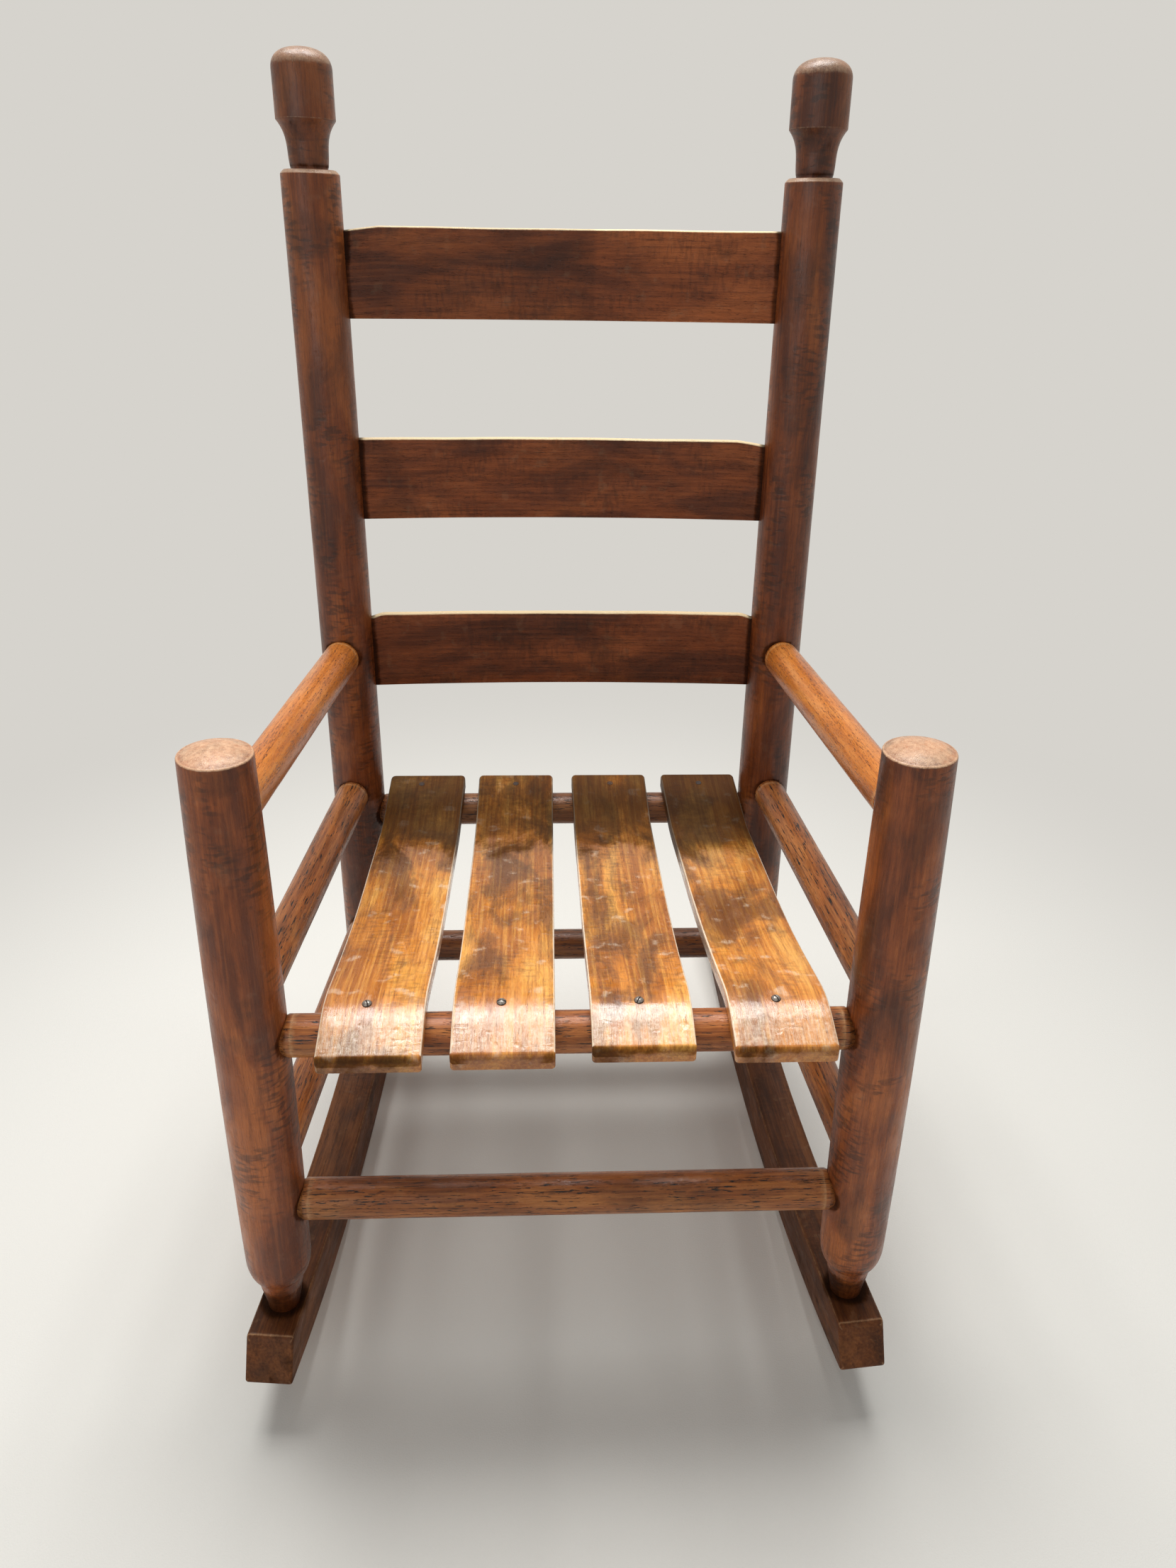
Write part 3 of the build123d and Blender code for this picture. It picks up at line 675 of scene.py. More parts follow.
    # Relief: raised fibres, sunk pores, cross marks and shallow dents.
    relief = wood.plus(wood.times(fibres, 0.5), wood.times(streaks, 0.3))
    relief = wood.minus(wood.minus(relief, wood.times(pores, 0.8)), wood.times(cross, 0.3))
    relief = wood.minus(relief, wood.span(wood.noise(grain, 0.14, 1.0), 0.6, 0.8, 0.0, 0.5))
    bump = wood.node("Bump", {"Height": relief, "Distance": 0.35 * MM, "Strength": 0.7})[0]
    wood.shade(
        {
            "Base Color": toned,
            "Roughness": rough,
            "Specular IOR Level": wood.span(grime_and_shade, 0.1, 0.6, shine, 0.25 * shine),
            "Coat Weight": wood.span(grime_and_shade, 0.1, 0.6, look.gloss, 0.05 * look.gloss),
            "Coat Roughness": wood.span(smears, 0.4, 0.6, 0.1, 0.3),
            "Normal": bump,
            "Coat Normal": bump,
        }
    )
    return wood.owner


def wood_for(slot):
    """The material of a slot of the record, made when the first piece asks for it."""
    name = "varnished_" + slot
    return bpy.data.materials.get(name) or mix_wood(name, settings(slot), slot in SAWN_WOODS)


def rusty_steel():
    """Dull steel with rust in the hollows, by noise and the dirt mark."""
    finish = settings("steel")
    steel = Recipe(bpy.data.materials.new("rusty_fastener_steel"))
    grain = steel.node("Attribute", {}, attribute_name="grain")["Vector"]
    marks = steel.node("Attribute", {}, attribute_name="marks")
    dirt = steel.node("SeparateColor", {0: marks["Color"]})[0]
    spots = steel.noise(grain, 1.1, 4.0, 0.7)
    rust = steel.span(steel.plus(spots, dirt), 0.6, 1.1)
    steel.shade(
        {
            "Base Color": steel.mix(rust, finish.steel, finish.rust),
            "Metallic": steel.span(rust, 0.0, 1.0, 0.8, 0.1),
            "Roughness": steel.span(rust, 0.0, 1.0, 0.32, 0.7),
            "Normal": steel.node("Bump", {"Height": spots, "Distance": 0.1 * MM, "Strength": 0.5})[0],
        }
    )
    return steel.owner


# ---------------------------------------------------------------- rocker lines and post axes
def rocker_line(side):
    """The rocker's middle under the front foot, its direction and the distance to the back foot."""
    sizes, rockers = settings("frame"), settings("rockers")
    front = np.array([side * (sizes.front_foot_spread / 2 + rockers.front_inset), 0, 0])
    back = np.array([side * (sizes.back_foot_spread / 2 + rockers.back_inset), sizes.back_setback, 0])
    return front, unit(back - front), np.linalg.norm(back - front)


def running_edge(s):
    """Height of the lower edge: radius - square root of (radius squared - distance squared)."""
    rockers = settings("rockers")
    return rockers.radius - np.sqrt(rockers.radius**2 - (s - rockers.low_point) ** 2)


def upper_edge(s):
    """Height of the upper edge: an arc about the same centre, and its tangent under the front foot."""
    rockers = settings("rockers")
    inner = rockers.radius - rockers.height
    ahead = rockers.flat_start - rockers.low_point
    depth = math.sqrt(inner**2 - ahead**2)
    behind_low = np.maximum(s, rockers.flat_start) - rockers.low_point
    arc = rockers.radius - np.sqrt(inner**2 - behind_low**2)
    return arc + np.minimum(s - rockers.flat_start, 0) * ahead / depth


def post_axis(row, side):
    """Foot and top of a post's axis."""
    sizes = settings("frame")
    if row == "front":
        foot = np.array([side * sizes.front_foot_spread / 2, 0, float(upper_edge(0.0))])
        return foot, np.array([side * sizes.front_top_spread / 2, 0, sizes.front_top])
    foot_height = float(upper_edge(rocker_line(side)[2]))
    top_y = sizes.back_setback + (sizes.back_shoulder - foot_height) * math.tan(sizes.back_rake)
    foot = np.array([side * sizes.back_foot_spread / 2, sizes.back_setback, foot_height])
    return foot, np.array([side * sizes.back_top_spread / 2, top_y, sizes.back_shoulder])


def at_height(axis, z):
    """The point of an axis at a height: foot + (top - foot) * share of the rise."""
    foot, top = axis
    return foot + (top - foot) * ((z - foot[2]) / (top[2] - foot[2]))


def post_radius(row, axis, z):
    """Radius of a post at a height, by straight lines through its three radii."""
    sizes = settings("frame")
    radii = sizes.front_radii if row == "front" else sizes.back_radii
    rise = (z - axis[0][2]) / (axis[1][2] - axis[0][2])
    return float(np.interp(rise, (0, 0.5, 1), radii))


def stick_plan():
    """Every rung and arm as node: (row and side at both ends, height at both ends, radius)."""
    rungs, sizes = settings("rungs"), settings("frame")
    seat, lower, arms = rungs.seat_height, rungs.lower_height, rungs.arm_drops
    rear_seat, rear_lower = seat + rungs.rear_seat_rise, lower + rungs.rear_lower_rise
    plan = {
        "front_seat_rung": (("front", -1), ("front", 1), (seat, seat), rungs.seat_radii[0]),
        "rear_seat_rung": (("back", -1), ("back", 1), (rear_seat, rear_seat), rungs.seat_radii[1]),
        "front_lower_rung": (("front", -1), ("front", 1), (lower, lower), rungs.lower_radii[0]),
        "rear_lower_rung": (("back", -1), ("back", 1), (rear_lower, rear_lower), rungs.lower_radii[1]),
    }
    for name, side in SIDES:
        ends = ("front", side), ("back", side)
        heights = [sizes.front_top - drop for drop in arms]
        plan[f"arm_{name}"] = (*ends, heights, rungs.arm_radius)
        heights = [seat + rise for rise in rungs.side_seat_rises]
        plan[f"side_seat_rung_{name}"] = (*ends, heights, rungs.seat_radii[2])
        heights = [lower + rise for rise in rungs.side_lower_rises]
        plan[f"side_lower_rung_{name}"] = (*ends, heights, rungs.lower_radii[2])
    return plan


def stick_ends(first, last, heights):
    """Where a rung's axis meets the axes of its posts, and the posts' radii there."""
    axes = [post_axis(*end) for end in (first, last)]
    points = [at_height(axis, z) for axis, z in zip(axes, heights)]
    faces = [post_radius(end[0], axis, z) for end, axis, z in zip((first, last), axes, heights)]
    return points, faces


# ---------------------------------------------------------------- posts
def foot_profile(full_radius):
    """Ankle, cone, small step and swell of a post's foot, from inside the rocker upwards."""
    sizes = settings("frame")
    ankle, cone, flare = sizes.ankle_radius, sizes.flare_radius, sizes.flare_height
    buried, step, spacing = -7 * MM, cone + 0.8 * MM, 2 * MM
    swell_start, swell_end = (step + 0.4 * MM, flare + 0.5 * MM), (full_radius, sizes.swell_height)
    return np.concatenate(
        [
            [(0, buried), (ankle, buried)],
            run((ankle, buried + 0.5 * MM), (ankle, sizes.ankle_height), spacing),
            run((ankle, sizes.ankle_height), (cone, flare), spacing),
            round_corner((cone, 0), (cone, flare), (step, flare), 0.3 * MM, 3),
            round_corner((0, flare), (step, flare + 0.1 * MM), (step + MM, flare + MM), 0.4 * MM, 3),
            ease(swell_start, swell_end, leaving=(0.6, 1), arriving=(0, 1)),
        ]
    )


def shaft_profile(radii, start, end):
    """The post's slow taper: the parabola through the three radii over the distance along the axis."""
    distance = run((0, start), (0, end), 3 * MM)[:, 1]
    low, middle, high = radii
    t = 2 * (distance - start) / (end - start) - 1
    radius = middle + (high - low) / 2 * t + ((high + low) / 2 - middle) * t**2
    return points_of(radius, distance)


def front_profile():
    """A front post: foot, shaft, small round rim and domed top."""
    sizes = settings("frame")
    foot, top = post_axis("front", 1)
    total, (low, _, high) = np.linalg.norm(top - foot), sizes.front_radii
    rim, shaft_stop = 1.6 * MM, 2.4 * MM
    return np.concatenate(
        [
            foot_profile(low),
            shaft_profile(sizes.front_radii, sizes.swell_height, total - shaft_stop),
            round_corner((high, 0), (high, total), (0, total), rim),
            cap(high - rim, total, sizes.front_dome)[1:],
        ]
    )


def back_profile():
    """A back post: foot, shaft, chamfered shoulder, waisted neck and cap.

    The neck is the cubic through its four radii. The cap's top is a squarish quarter ellipse,
    (r / radius)^2.4 + (z / crown)^2.4 = 1.
    """
    sizes, finial = settings("frame"), settings("finials")
    foot, top = post_axis("back", 1)
    total, (low, _, high) = np.linalg.norm(top - foot), sizes.back_radii
    chamfer, squareness = 2.4 * MM, 2.4
    neck, waist, flare = finial.neck_radius, finial.waist_radius, finial.flare_radius
    wide = finial.cap_radius - 0.05 * MM
    collar = total + finial.collar_height
    rim = collar + finial.cap_side
    turn = np.radians(np.linspace(0, 90, 22))
    climb = np.linspace(0, finial.collar_height, 15)
    waist_share, flare_share = 12 / 26.9, 21.4 / 26.9
    heights = np.array((0, waist_share, flare_share, 1)) * finial.collar_height
    curve = np.polyval(np.polyfit(heights, (neck, waist, flare, wide), 3), climb)
    neck_points = points_of(curve, total + climb)[1:-1]
    shaft_end, shoulder_rim = (high, total - chamfer), (high - chamfer, total)
    return np.concatenate(
        [
            foot_profile(low),
            shaft_profile(sizes.back_radii, sizes.swell_height, total - chamfer - MM),
            round_corner((high, 0), shaft_end, shoulder_rim, 0.8 * MM),
            round_corner(shaft_end, shoulder_rim, (neck, total), 0.6 * MM),
            round_corner((high, total), (neck, total), (neck, total + MM), 0.5 * MM, 3),
            neck_points,
            round_corner(neck_points[-1], (wide, collar), (wide, rim), 0.35 * MM, 4),
            run((wide, collar + 1.2 * MM), (wide, rim - 0.5 * MM), 2 * MM),
            points_of(
                wide * np.maximum(np.cos(turn), 0) ** (2 / squareness),
                rim + (finial.cap_crown - 0.1 * MM) * np.sin(turn) ** (2 / squareness),
            ),
        ]
    )


def joint_dirt(rings, row, side):
    """Dirt round each rung that enters the post: it fades with the distance from the rung's edge."""
    dirt = np.zeros(rings.shape[:2])
    for first, last, heights, radius in stick_plan().values():
        if (row, side) not in (first, last):
            continue
        (start, end), _ = stick_ends(first, last, heights)
        here, there = (start, end) if (row, side) == first else (end, start)
        away = unit(there - here)
        along = (rings - here) @ away
        off = np.linalg.norm(rings - here - along[..., None] * away, axis=-1)
        dirt = np.maximum(dirt, 0.65 * near(off - radius, 1.3 * MM) * (along > 0))
    return dirt


def make_post(row, name, side, tone):
    """A turned post, dirty at its joints and foot, worn at its top, where a front post also has a
    painted highlight.
    """
    sizes = settings("frame")
    foot, top = post_axis(row, side)
    profile = front_profile() if row == "front" else back_profile()
    seed = {"front": 3.1, "back": 7.7}[row] + side
    rings, grain = turned(foot, top, profile, seed)
    total = np.linalg.norm(top - foot)
    radius, height = profile[:, :1], profile[:, 1:]
    ankle_dirt = near(height - 0.5 * sizes.flare_height, 9 * MM) * 0.8
    step_dirt = band(height - sizes.flare_height, 0, 0.7 * MM)
    dirt = strongest(joint_dirt(rings, row, side), ankle_dirt, step_dirt)
    if row == "front":
        rim_radius = sizes.front_radii[2]
        rim = band(height - total + 0.5 * MM, 0.3 * MM, 0.4 * MM) * (radius > 0.9 * rim_radius)
        # Real wear and painted highlight: the flat top is made pale, standing in for the glare on it.
        top_wear_and_glare = (height > total - 0.1 * MM) * near(radius - 0.8 * rim_radius, 1.5 * MM)
        wear = strongest(0.6 * rim, 0.55 * top_wear_and_glare)
        ends = 0.3 * (height > total - 0.2 * MM)
    else:
        finial = settings("finials")
        collar = total + finial.collar_height
        crown = collar + finial.cap_side + 0.5 * finial.cap_crown
        shoulder_wear = 0.6 * band(height - total + 1.2 * MM, 0.8 * MM, 0.6 * MM)
        collar_wear = 0.45 * band(height - collar - 0.4 * MM, 0, 0.6 * MM)
        wear = strongest(shoulder_wear, collar_wear, 0.5 * near(crown - 2 * MM - height, 2.5 * MM))
        neck = (height > total + MM) * (height < collar - MM)
        dirt = strongest(dirt, 0.3 * neck + 0.4 * band(height - total - MM, 0, 1.5 * MM))
        tone = tone * (1 - 0.24 * (height > total + MM))
        ends = 0.6 * (height > crown - 3 * MM)
    shift = np.array([31, 17, 400]) * seed
    make_wood(f"{row}_post_{name}", "post_wood", rings, grain + shift, dirt, wear, ends, tone)


# ---------------------------------------------------------------- rungs and arms
def make_stick(node, first, last, heights, radius, slot, tone, seed):
    """A rung or an arm: a round bar with a tapered shoulder sunk into the post at each end."""
    (start, end), faces = stick_ends(first, last, heights)
    total = np.linalg.norm(end - start)
    sink, taper, drop = 4 * MM, 5 * MM, 2.2 * MM
    low, high = faces[0] - sink, total - faces[1] + sink
    profile = np.concatenate(
        [
            [(0, low), (radius - drop, low)],
            run((radius - drop, low + 0.3 * MM), (radius, low + taper), 1.2 * MM),
            run((radius, low + taper), (radius, high - taper), 3 * MM),
            run((radius, high - taper), (radius - drop, high - 0.3 * MM), 1.2 * MM),
            [(radius - drop, high), (0, high)],
        ]
    )
    rings, grain = turned(start, end, profile, seed, unevenness=0.22 * MM, around=56)
    distance = profile[:, 1:] * np.ones(rings.shape[:2])
    inward = np.minimum(distance - faces[0], total - faces[1] - distance)
    dirt = 0.45 * near(inward - 0.6 * MM, 1.2 * MM)
    wear = band(inward - taper, MM, 1.5 * MM) * 0.5
    shift = np.array([41, 23, 310]) * seed
    make_wood(node, slot, rings, grain + shift, dirt, wear, 0, tone)


# ---------------------------------------------------------------- back slats
def make_back_slat(index, name, tone):
    """A board bent backward: an arc between the posts in plan, its upper edge clipped at the posts."""
    sizes, slats = settings("frame"), settings("back_slats")
    axis = post_axis("back", 1)
    lower = sizes.back_shoulder - slats.drops[index]
    width, bow = slats.widths[index], slats.bows[index]
    middle = at_height(axis, lower + width / 2)
    face = middle[0] - post_radius("back", axis, middle[2])
    reach = face + slats.mortise
    bend = (middle[0] ** 2 + bow**2) / (2 * bow)
    half = slats.thickness / 2
    turn = math.asin(reach / (bend + half))
    distances = end_stations(2 * turn * bend, 1.2 * MM, 3 * MM)
    angles = distances / bend - turn
    x, y = bend * np.sin(angles), bow - bend + bend * np.cos(angles)
    clip = np.zeros_like(x)
    for side, run_in in ((-1, slats.left_clips[index]), (1, slats.right_clips[index])):
        if run_in:
            slope = (side * x - face + run_in) / run_in
            clip += slats.clip_drop * (np.clip(slope, 0, 1) ** 1.2)
    dip = 0.5 * MM * ripple(x * 45, index, 5.3 + index) * (1 - np.abs(x / reach) ** 4)
    rake = sizes.back_rake
    foot = at_height(axis, lower) * (0, 1, 1) + points_of(x, y * math.cos(rake), -y * math.sin(rake))
    rise = np.array([0, math.sin(rake), math.cos(rake)])
    under = foot + rise * (0.2 * dip)[:, None]
    over = foot + rise * (width - clip - dip)[:, None]
    back = points_of(np.sin(angles), np.cos(angles) * math.cos(rake), -np.cos(angles) * math.sin(rake))
    half_width = np.full(len(x), half)
    rings, aside, above, along, corner = board(under, over, back, half_width, 1.5 * MM, distances)
    from_post = face - np.abs(rings[..., 0])
    dirt = near(from_post, 3.5 * MM)
    top_edge = near(above.max(axis=1, keepdims=True) - above - 0.5 * MM, 0.5 * MM)
    wear = strongest(top_edge, 0.35 * corner) * (from_post > 0)
    seed = 11.3 + 2.9 * index
    grain = points_of(above, aside, along) / MM + np.array([29, 0.4, 370]) * seed
    paler_from = 21 * MM  # right of this line the top slat is paler
    paler = 0.09 * (np.tanh((rings[..., 0] - paler_from) / (1.5 * MM)) + 1) * (name == "top")
    make_wood(f"{name}_back_slat", "back_slat_wood", rings, grain, dirt, wear, 0, tone + paler)


# ---------------------------------------------------------------- seat slats
def rear_rung():
    """Where the rear seat rung's axis lies, as (y, z)."""
    rungs = settings("rungs")
    height = rungs.seat_height + rungs.rear_seat_rise
    return at_height(post_axis("back", 1), height)[1], height


def seat_bends():
    """Centres of the underside's three bends, front to back, each tangent to the line before it."""
    seat, rungs = settings("seat"), settings("rungs")
    gap = 0.05 * MM
    rear_y, rear_z = rear_rung()
    floor = rungs.seat_height + rungs.seat_radii[0] - seat.dish_depth
    reach = seat.nose_bend - rungs.seat_radii[0] - gap
    fall, rise = seat.fall_slope, seat.rear_slope
    nose_y, nose_z = seat.crest_setback, rungs.seat_height - math.sqrt(reach**2 - seat.crest_setback**2)
    dish_z, hollow_z = floor + seat.dish_bend, floor + seat.hollow_bend
    both_bends = seat.nose_bend + seat.dish_bend
    dish_y = nose_y + (both_bends - math.cos(fall) * (dish_z - nose_z)) / math.sin(fall)
    above_rung = seat.hollow_bend + rungs.seat_radii[1] + gap
    hollow_y = rear_y + (math.cos(rise) * (hollow_z - rear_z) - above_rung) / math.sin(rise)
    return (nose_y, nose_z), (dish_y, dish_z), (hollow_y, hollow_z)


def seat_line(lift, overhang):
    """One face of a slat from front to back: straight runs between three arcs, as rows of (y, z)."""
    seat = settings("seat")
    nose, dish, hollow = seat_bends()
    drop, fall, rise = seat.nose_slope, seat.fall_slope, seat.rear_slope

    def bend(centre, radius, first, last):
        turn = np.linspace(first, last, 33)
        return points_of(centre[0] + radius * np.sin(turn), centre[1] + radius * np.cos(turn))

    arcs = [
        bend(nose, seat.nose_bend + lift, -drop, fall),
        bend(dish, lift - seat.dish_bend, fall, 0),
        bend(hollow, lift - seat.hollow_bend, 0, -rise),
    ]
    front_y, front_z = arcs[0][0]
    rear_y, rear_z = arcs[-1][-1]
    end = rear_rung()[0] + seat.rear_overhang
    front = (-overhang, front_z - (front_y + overhang) * math.tan(drop))
    return np.concatenate([[front], *arcs, [(end, rear_z + (end - rear_y) * math.tan(rise))]])


def slat_middle(index, y):
    """Distance of a slat's middle line from the middle of the chair, straight from rung to rung."""
    seat = settings("seat")
    front, rear = seat.front_centres[index], seat.rear_centres[index]
    return front + (rear - front) * y / rear_rung()[0]


def seat_surface(y):
    """Height and slope of the seat's upper face at a distance behind the front rung."""
    seat = settings("seat")
    line = seat_line(seat.thickness, max(seat.nose_overhangs))
    step = 0.5 * MM
    height = np.interp((y - step, y, y + step), line[:, 0], line[:, 1])
    return height[1], math.atan2(height[0] - height[2], 2 * step)


def make_seat_slat(index, tone):
    """A strip bent over both rungs, its sides fanned out to the front and its ends cut plumb."""
    seat = settings("seat")
    overhang = seat.nose_overhangs[index]
    under, over = seat_line(0.0, overhang), seat_line(seat.thickness, overhang)
    middle = (under + over) / 2
    travelled = np.concatenate([[0], np.cumsum(np.linalg.norm(np.diff(middle, axis=0), axis=1))])
    total = travelled[-1]
    distances = end_stations(total, seat.rear_corner, 2.5 * MM)
    under, over = (
        points_of(*(np.interp(distances, travelled, column) for column in line.T))
        for line in (under, over)
    )
    rear = distances > total / 2
    rear_edge, under_edge = 1.4 * MM, 0.8 * MM
    upper_inset = end_inset(distances, total, np.where(rear, rear_edge, seat.nose_edge))
    lower_inset = end_inset(distances, total, under_edge)
    corner_inset = end_inset(distances, total, np.where(rear, seat.rear_corner, seat.nose_corner))
    up = unit(over - under)
    towards_ends = (2 * distances / total - 1) ** 8
    dent = 0.5 * MM * ripple(distances * 30, index * 1.3, index + 2.2) * (1 - towards_ends)
    over = over - up * (upper_inset + 0.3 * dent)[:, None]
    under = under + up * lower_inset[:, None]
    under, over = (points_of(slat_middle(index, line[:, 0]), *line.T) for line in (under, over))
    fan = math.atan2(seat.rear_centres[index] - seat.front_centres[index], rear_rung()[0])
    half = seat.width / 2 / math.cos(fan) - corner_inset - 0.4 * dent
    across = np.array([-1.0, 0, 0])
    rings, aside, above, to_nose, corner = board(under, over, across, half, 1.4 * MM, distances)
    to_end, upper = total - to_nose, above > 0
    lip = band(to_nose - 0.8 * MM, 0.8 * MM, 0.7 * MM) * upper
    # Real wear and painted highlight: the top behind the nose is made pale, standing in for the glare on
    # it.
    nose_wear_and_sheen = band(to_nose - 16 * MM, 11 * MM, 7 * MM) * upper * 0.42
    wear = strongest(corner * np.where(upper, 0.75, 0.2), nose_wear_and_sheen) * (1 - lip)
    face, stain = to_nose < 0.1 * MM, seat.rear_stain_and_shade[index]
    underside = (above < 0) * (np.abs(above) > 3 * MM)
    # The rear stain term darkens the rear of the slat: real stain, and painted shade over the rear.
    dirt = strongest(0.6 * lip, 0.3 * face, stain * near(to_end - 55 * MM, 50 * MM), 0.3 * underside)
    # Dirt and painted shadow: a dark ring on the slat round each screw and nail head.
    for y, offset in ((0.0, seat.screw_offsets[index]), (rear_rung()[0], seat.nail_offsets[index])):
        from_pin = np.linalg.norm(rings - pin_frame(index, y, offset)[0], axis=-1)
        dirt = strongest(dirt, 0.35 * near(from_pin - 2 * MM, 3 * MM))
    ends = 0.9 * face + 0.5 * (to_end < 0.4 * MM)
    # Painted shade, with real stain: the tone falls towards the rear end.
    tone = tone * (1 - 0.24 * stain * near(to_end - 50 * MM, 50 * MM))
    seed = 2.7 + 3.3 * index
    grain = points_of(-aside, above, to_nose) / MM + np.array([33, 1.1, 410]) * seed
    make_wood(f"seat_slat_{index + 1}", "seat_slat_wood", rings, grain, dirt, wear, ends, tone)


# ---------------------------------------------------------------- screws and nails
def pin_frame(index, y, offset):
    """Point on the slat's upper face where a pin is driven, and the square direction there."""
    height, slope = seat_surface(y)
    point = np.array([slat_middle(index, y) + offset, y, height])
    return point, np.array([0, math.sin(slope), math.cos(slope)])


def screw_surface(point, up, slot_turn):
    """A round screw head: a spherical cap whose middle sinks in a narrow slot across it."""
    seat = settings("seat")
    radius, rise, shank, driven = seat.screw_radius, seat.screw_rise, 1.5 * MM, -3 * MM
    stem = [(0, driven), (shank, driven), (shank, 0), (radius, 0)]
    profile = np.concatenate([stem, cap(radius, 0.05 * MM, rise, 22)])
    rings, grain = turned(point, point + up, profile, seed=0.4, unevenness=0.0, around=64)
    x, y, height = np.moveaxis(grain * MM, -1, 0)
    slot_width, slot_depth = 0.4 * MM, 0.5 * MM
    slot = band(x * math.cos(slot_turn) + y * math.sin(slot_turn), slot_width / 2, 0.14 * MM)
    slot = slot * (height > 0.2 * MM)
    rings = rings - up * (slot * slot_depth)[..., None]
    dirt = 0.25 + 0.6 * slot + 0.4 * near(height - 0.25 * MM, 0.2 * MM)
    return rings, grain, points_of(dirt, 0, 0, 0.5)


def nail_surface(point, up, seed):
    """A flat nail head just under the slat's face, ringed by the dark rim of its hole."""
    stem = [(0, -4), (1.1, -4), (1.1, -1.0), (2.3, -0.9), (2.3, 0.12)]
    head = [(2.1, 0.2), (1.8, 0.12), (1.6, -0.05), (1.0, 0.02), (0, 0.06)]
    drawn_for = 2.2 * MM  # the head radius at which the profile has these numbers, in millimetres
    profile = np.array(stem + head) * MM * [settings("seat").nail_radius / drawn_for, 1]
    rings, grain = turned(point, point + up, profile, seed, unevenness=0.0, around=32)
    rim = grain[..., 2] > 0.08
    return rings, grain, points_of(0.7 + 0.3 * rim, 0, 0, 0.5)


# ---------------------------------------------------------------- rockers
def make_rocker(name, side, tone):
    """A sawn runner: a rounded rectangle between the running edge and the upper edge."""
    rockers = settings("rockers")
    origin, along, back_foot = rocker_line(side)
    clearance = 0.5 * MM
    first, last = clearance - rockers.front_reach, back_foot + rockers.rear_reach - clearance
    shrink = (rockers.radius - rockers.height) / rockers.radius
    upper_first = first + rockers.front_slant
    upper_last = rockers.low_point + (last - rockers.low_point) * shrink
    total = last - first
    distances = end_stations(total, rockers.end_round, 3 * MM)
    t = distances / total
    lower_s, upper_s = first + (last - first) * t, upper_first + (upper_last - upper_first) * t
    inset = end_inset(distances, total, rockers.end_round)
    lower, upper = (
        origin + along * s[:, None] + points_of(0, 0, height)
        for s, height in ((lower_s, running_edge(lower_s)), (upper_s, upper_edge(upper_s)))
    )
    up = unit(upper - lower)
    dip = 0.35 * MM * ripple(distances * 26, side, 4.4 + side)
    lower = lower + up * inset[:, None]
    upper = upper - up * (inset + dip)[:, None]
    side_round, edge_round = 1.6 * MM, 1.9 * MM
    half = rockers.width / 2 - end_inset(distances, total, side_round) - 0.3 * dip
    across = np.cross((0, 0, 1.0), along)
    rings, aside, above, s, corner = board(lower, upper, across, half, edge_round, distances)
    rise = np.clip(above / (rockers.height / 2), -1, 1)
    top_face, running_face = rise > 0.95, rise < -0.95
    ankle = settings("frame").ankle_radius
    dirt = 0.3 * (aside * side > 0) * (np.abs(rise) < 0.95)
    for row, reach in (("front", 7 * MM), ("back", 8 * MM)):
        from_foot = np.linalg.norm(rings - post_axis(row, side)[0], axis=-1)
        dirt = strongest(dirt, near(from_foot - ankle, reach))
    rubbed_top = 0.25 * top_face * near(s - 0.3 * total, 60 * MM)
    front_edge = band(s - 1.6 * MM, 0, 0.9 * MM) * (rise > 0.8) * 0.6
    wear = strongest(corner * 0.45, rubbed_top, front_edge, 0.5 * running_face)
    ends = near(s - 1.5 * MM, MM) * 0.2 + near(total - s - 1.5 * MM, MM) * 0.6
    # Painted shade: the top face is darker, as if in the seat's shadow; the front end face is made
    # lighter.
    tone = tone * (1 - 0.25 * top_face + 0.14 * near(s - 2 * MM, 2 * MM))
    seed = 17.9 + 3 * side
    grain = points_of(aside, above, s) / MM + np.array([27, 1.7, 290]) * seed
    make_wood(f"rocker_{name}", "rocker_wood", rings, grain, dirt, wear, ends, tone)


# ---------------------------------------------------------------- operators
class CHAIR_OT_posts(bpy.types.Operator):
    """Turn the two front posts and the two back posts with their finials"""

    bl_idname = "chair.posts"
    bl_label = "Posts"

    def execute(self, context):
        for name, side in SIDES:
            make_post("front", name, side, 0.53 if side < 0 else 0.5)
            make_post("back", name, side, 0.36 if side < 0 else 0.34)
        return {"FINISHED"}


class CHAIR_OT_rungs(bpy.types.Operator):
    """Turn the eight rungs and the two arms"""

    bl_idname = "chair.rungs"
    bl_label = "Rungs and Arms"

    def execute(self, context):
        # Painted shade: the rear rungs, which lie under the seat, are much darker in tone than the
        # others.
        tones = {"rear_seat_rung": 0.26, "rear_lower_rung": 0.27, "front_seat_rung": 0.5}
        for place, (node, stick) in enumerate(stick_plan().items()):
            slot, usual = ("arm_wood", 0.49) if node.startswith("arm") else ("rung_wood", 0.45)
            make_stick(node, *stick, slot, tones.get(node, usual), 1.0 + 1.7 * place)
        return {"FINISHED"}


class CHAIR_OT_back_slats(bpy.types.Operator):
    """Bend the three back slats"""

    bl_idname = "chair.back_slats"
    bl_label = "Back Slats"

    def execute(self, context):
        for index, (name, tone) in enumerate((("top", 0.44), ("middle", 0.53), ("bottom", 0.47))):
            make_back_slat(index, name, tone)
        return {"FINISHED"}


class CHAIR_OT_seat_slats(bpy.types.Operator):
    """Bend the four seat slats over their rungs"""

    bl_idname = "chair.seat_slats"
    bl_label = "Seat Slats"

    def execute(self, context):
        for index, tone in enumerate((0.57, 0.57, 0.62, 0.6)):
            make_seat_slat(index, tone)
        return {"FINISHED"}


